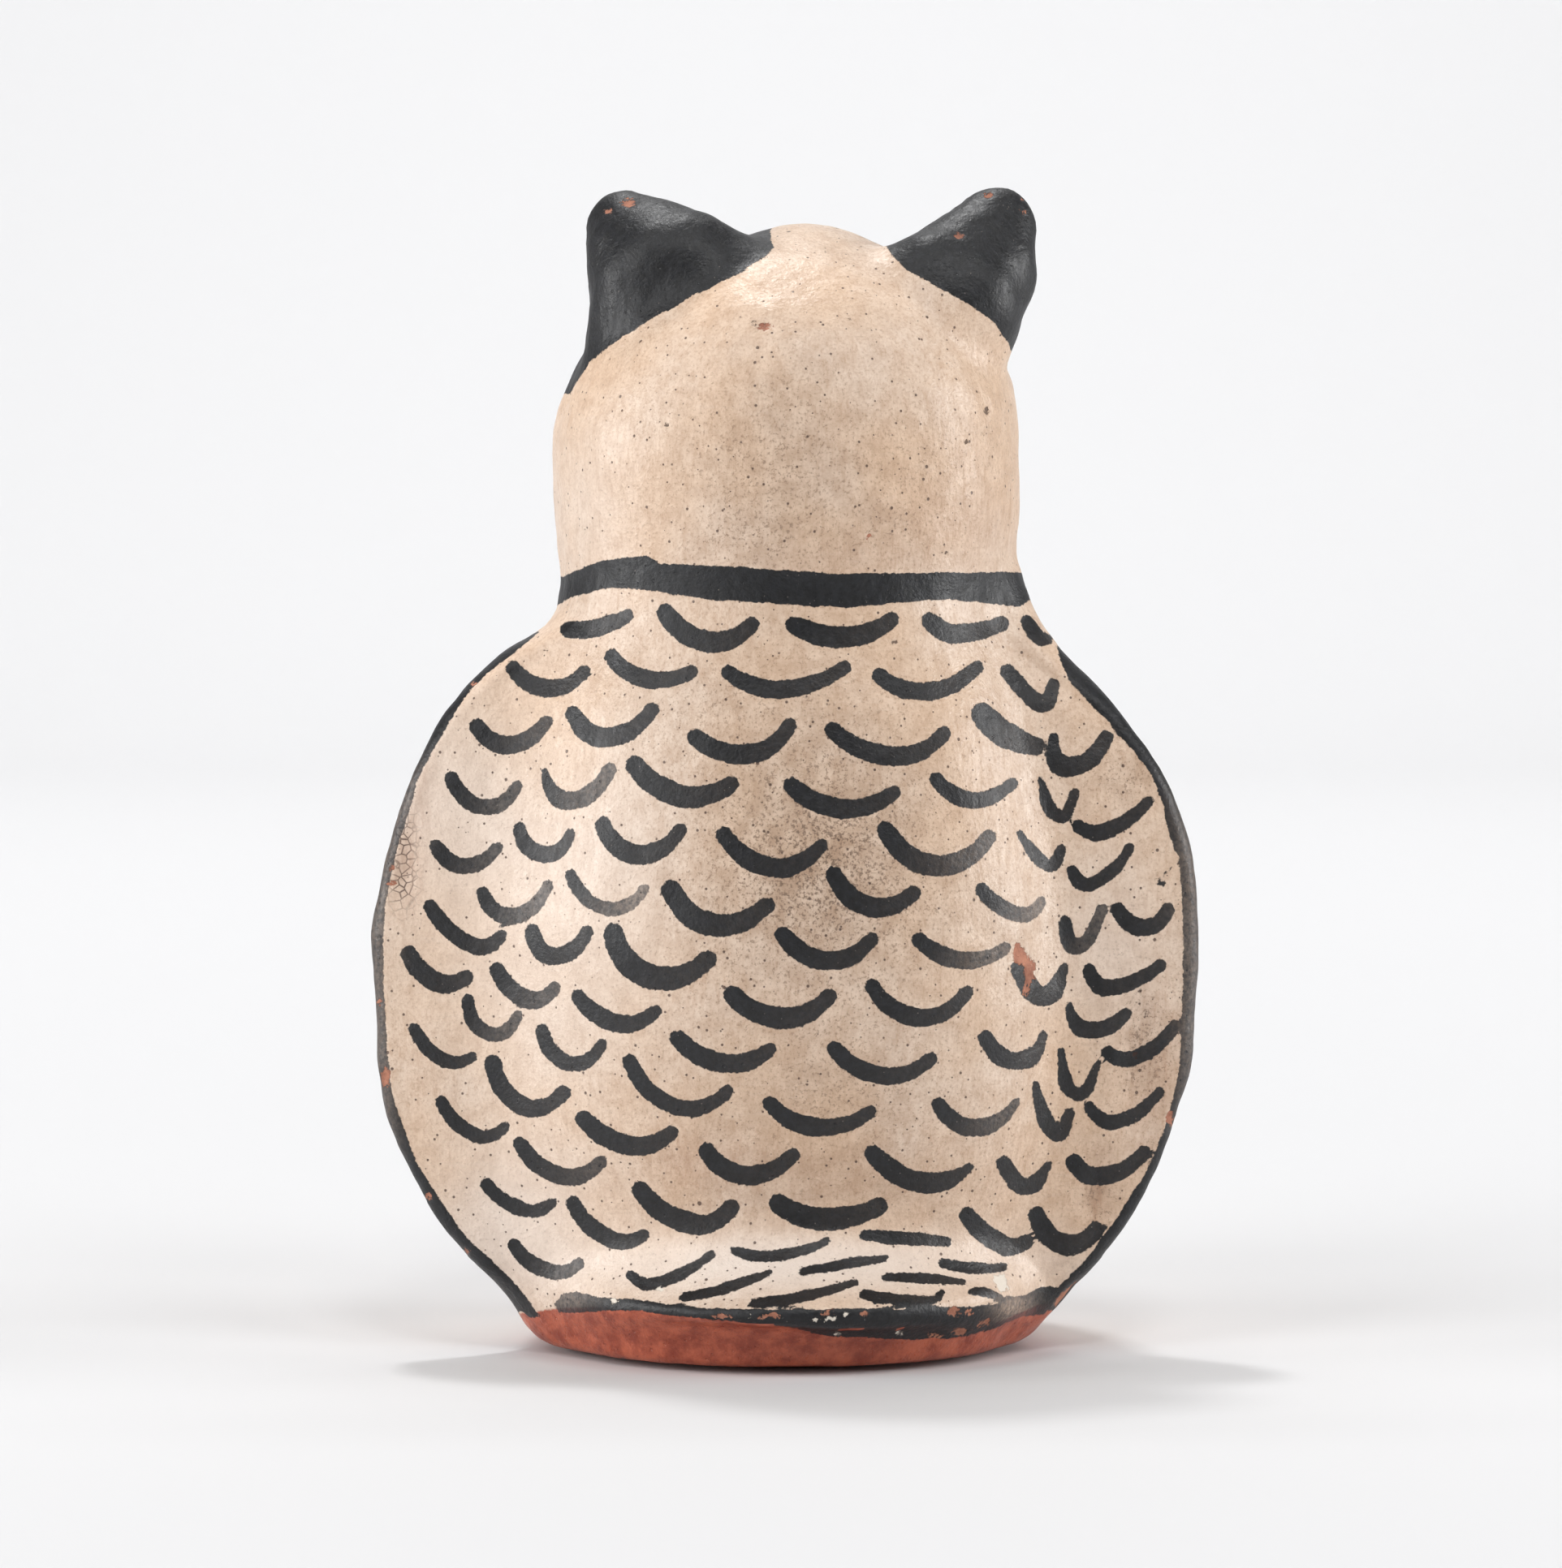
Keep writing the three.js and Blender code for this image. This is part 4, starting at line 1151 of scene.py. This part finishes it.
    height = nodes.math("MULTIPLY", mottle, 0.1)
    height = nodes.math("MULTIPLY_ADD", pebbles, 0.12, height)
    height = nodes.math("MULTIPLY_ADD", wiped, 0.05, height)
    height = nodes.math("MULTIPLY_ADD", grain, 0.04, height)
    height = nodes.math("MULTIPLY_ADD", specks, -0.09, height)
    height = nodes.math("MULTIPLY_ADD", cracked, -0.05, height)
    height = nodes.math("MULTIPLY_ADD", ink_cover, 0.015, height)
    height = nodes.math("MULTIPLY_ADD", broken, -0.08, height)
    bump = nodes.nodes.new("ShaderNodeBump")
    nodes.set(bump.inputs["Height"], height)
    nodes.set(bump.inputs["Distance"], MM)
    nodes.set(bump.inputs["Strength"], 1.0)

    shader = nodes.nodes.new("ShaderNodeBsdfPrincipled")
    nodes.set(shader.inputs["Base Color"], colour)
    nodes.set(shader.inputs["Roughness"], roughness)
    nodes.set(shader.inputs["Normal"], bump.outputs["Normal"])
    nodes.set(shader.inputs["Specular IOR Level"], 0.5)
    output = nodes.nodes.new("ShaderNodeOutputMaterial")
    nodes.set(output.inputs["Surface"], shader.outputs["BSDF"])
    return material


def stage_material():
    material = bpy.data.materials.new("pale_floor")
    nodes = Nodes(material)
    axes = nodes.nodes.new("ShaderNodeSeparateXYZ")
    nodes.set(axes.inputs["Vector"], nodes.millimetres)
    shader = nodes.nodes.new("ShaderNodeBsdfPrincipled")
    tone = nodes.mix(nodes.ramp(axes.outputs["Y"], 200, 2600), FLOOR, BACKDROP)
    nodes.set(shader.inputs["Base Color"], tone)
    nodes.set(shader.inputs["Roughness"], 0.9)
    nodes.set(shader.inputs["Specular IOR Level"], 0.1)
    output = nodes.nodes.new("ShaderNodeOutputMaterial")
    nodes.set(output.inputs["Surface"], shader.outputs["BSDF"])
    return material


def build_stage():
    """A pale floor that sweeps up behind the owl, in metres."""
    width, front, bend_start, radius, top = 8.0, -4.0, 2.0, 1.5, 5.0
    profile = [(front, 0.0), (bend_start, 0.0)]
    for step in range(1, 25):
        turn = math.pi / 2 * step / 24
        profile.append((bend_start + radius * math.sin(turn), radius * (1 - math.cos(turn))))
    profile.append((bend_start + radius, top))
    points = [(side * width / 2, y, z) for y, z in profile for side in (-1, 1)]
    faces = [(2 * i, 2 * i + 1, 2 * i + 3, 2 * i + 2) for i in range(len(profile) - 1)]
    mesh = bpy.data.meshes.new("stage_sweep")
    mesh.from_pydata(points, [], faces)
    mesh.polygons.foreach_set("use_smooth", [True] * len(mesh.polygons))
    mesh.materials.append(stage_material())
    stage = bpy.data.objects.new("stage_sweep", mesh)
    bpy.context.scene.collection.objects.link(stage)


def softbox(name, bearing, elevation, size, watts):
    """A lamp that faces the owl. Its bearing is in degrees from the camera's side, right positive."""
    turn, rise = math.radians(bearing), math.radians(elevation)
    level = SOFTBOX_DISTANCE * math.cos(rise)
    place = (level * math.sin(turn), -level * math.cos(turn), SOFTBOX_DISTANCE * math.sin(rise))
    area_light(name, place, (0, 0, 0.09), (size, size), watts)


def area_light(name, offset, target, size, watts):
    light = bpy.data.lights.new(name, "AREA")
    light.shape = "RECTANGLE"
    light.size, light.size_y = size
    light.energy = watts
    thing = bpy.data.objects.new(name, light)
    bpy.context.scene.collection.objects.link(thing)
    thing.location = Vector(offset) + Vector((0, 0, 0.09))
    thing.rotation_euler = (Vector(target) - thing.location).to_track_quat("-Z", "Y").to_euler()


def build_lights():
    softbox("left_softbox", -84, 12, 0.9, 24)
    softbox("left_front_softbox", -45, 14, 0.9, 9)
    softbox("left_upper_softbox", -45, 45, 0.9, 10)
    softbox("front_upper_softbox", 8, 50, 0.4, 9)
    softbox("right_upper_softbox", 45, 45, 0.9, 11)
    softbox("right_softbox", 90, 12, 0.9, 27)
    softbox("top_lamp", -158, 71, 0.2, 15)
    area_light("backdrop_light", (0.0, 1.2, 2.6), (0, 3.6, 0.3), (3.0, 0.8), 61)
    world = bpy.data.worlds.new("studio")
    world.use_nodes = True
    background = world.node_tree.nodes["Background"]
    background.inputs["Color"].default_value = (1, 1, 1, 1)
    background.inputs["Strength"].default_value = 0.02
    bpy.context.scene.world = world
    bpy.context.scene.view_settings.view_transform = "Standard"


def build_camera():
    camera = bpy.data.cameras.new("photo_camera")
    camera.sensor_width = SENSOR
    camera.lens = FOCAL_LENGTH * SENSOR / PHOTO_SIZE[1]
    thing = bpy.data.objects.new("photo_camera", camera)
    thing.location = EYE * MM
    thing.rotation_euler = (math.pi / 2 - EYE_PITCH, 0, 0)
    bpy.context.scene.collection.objects.link(thing)
    bpy.context.scene.camera = thing


build_camera()
build_stage()
build_lights()
owl = build_owl(slipped_clay())
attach(owl, BODY)
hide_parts(CAD_NODE)
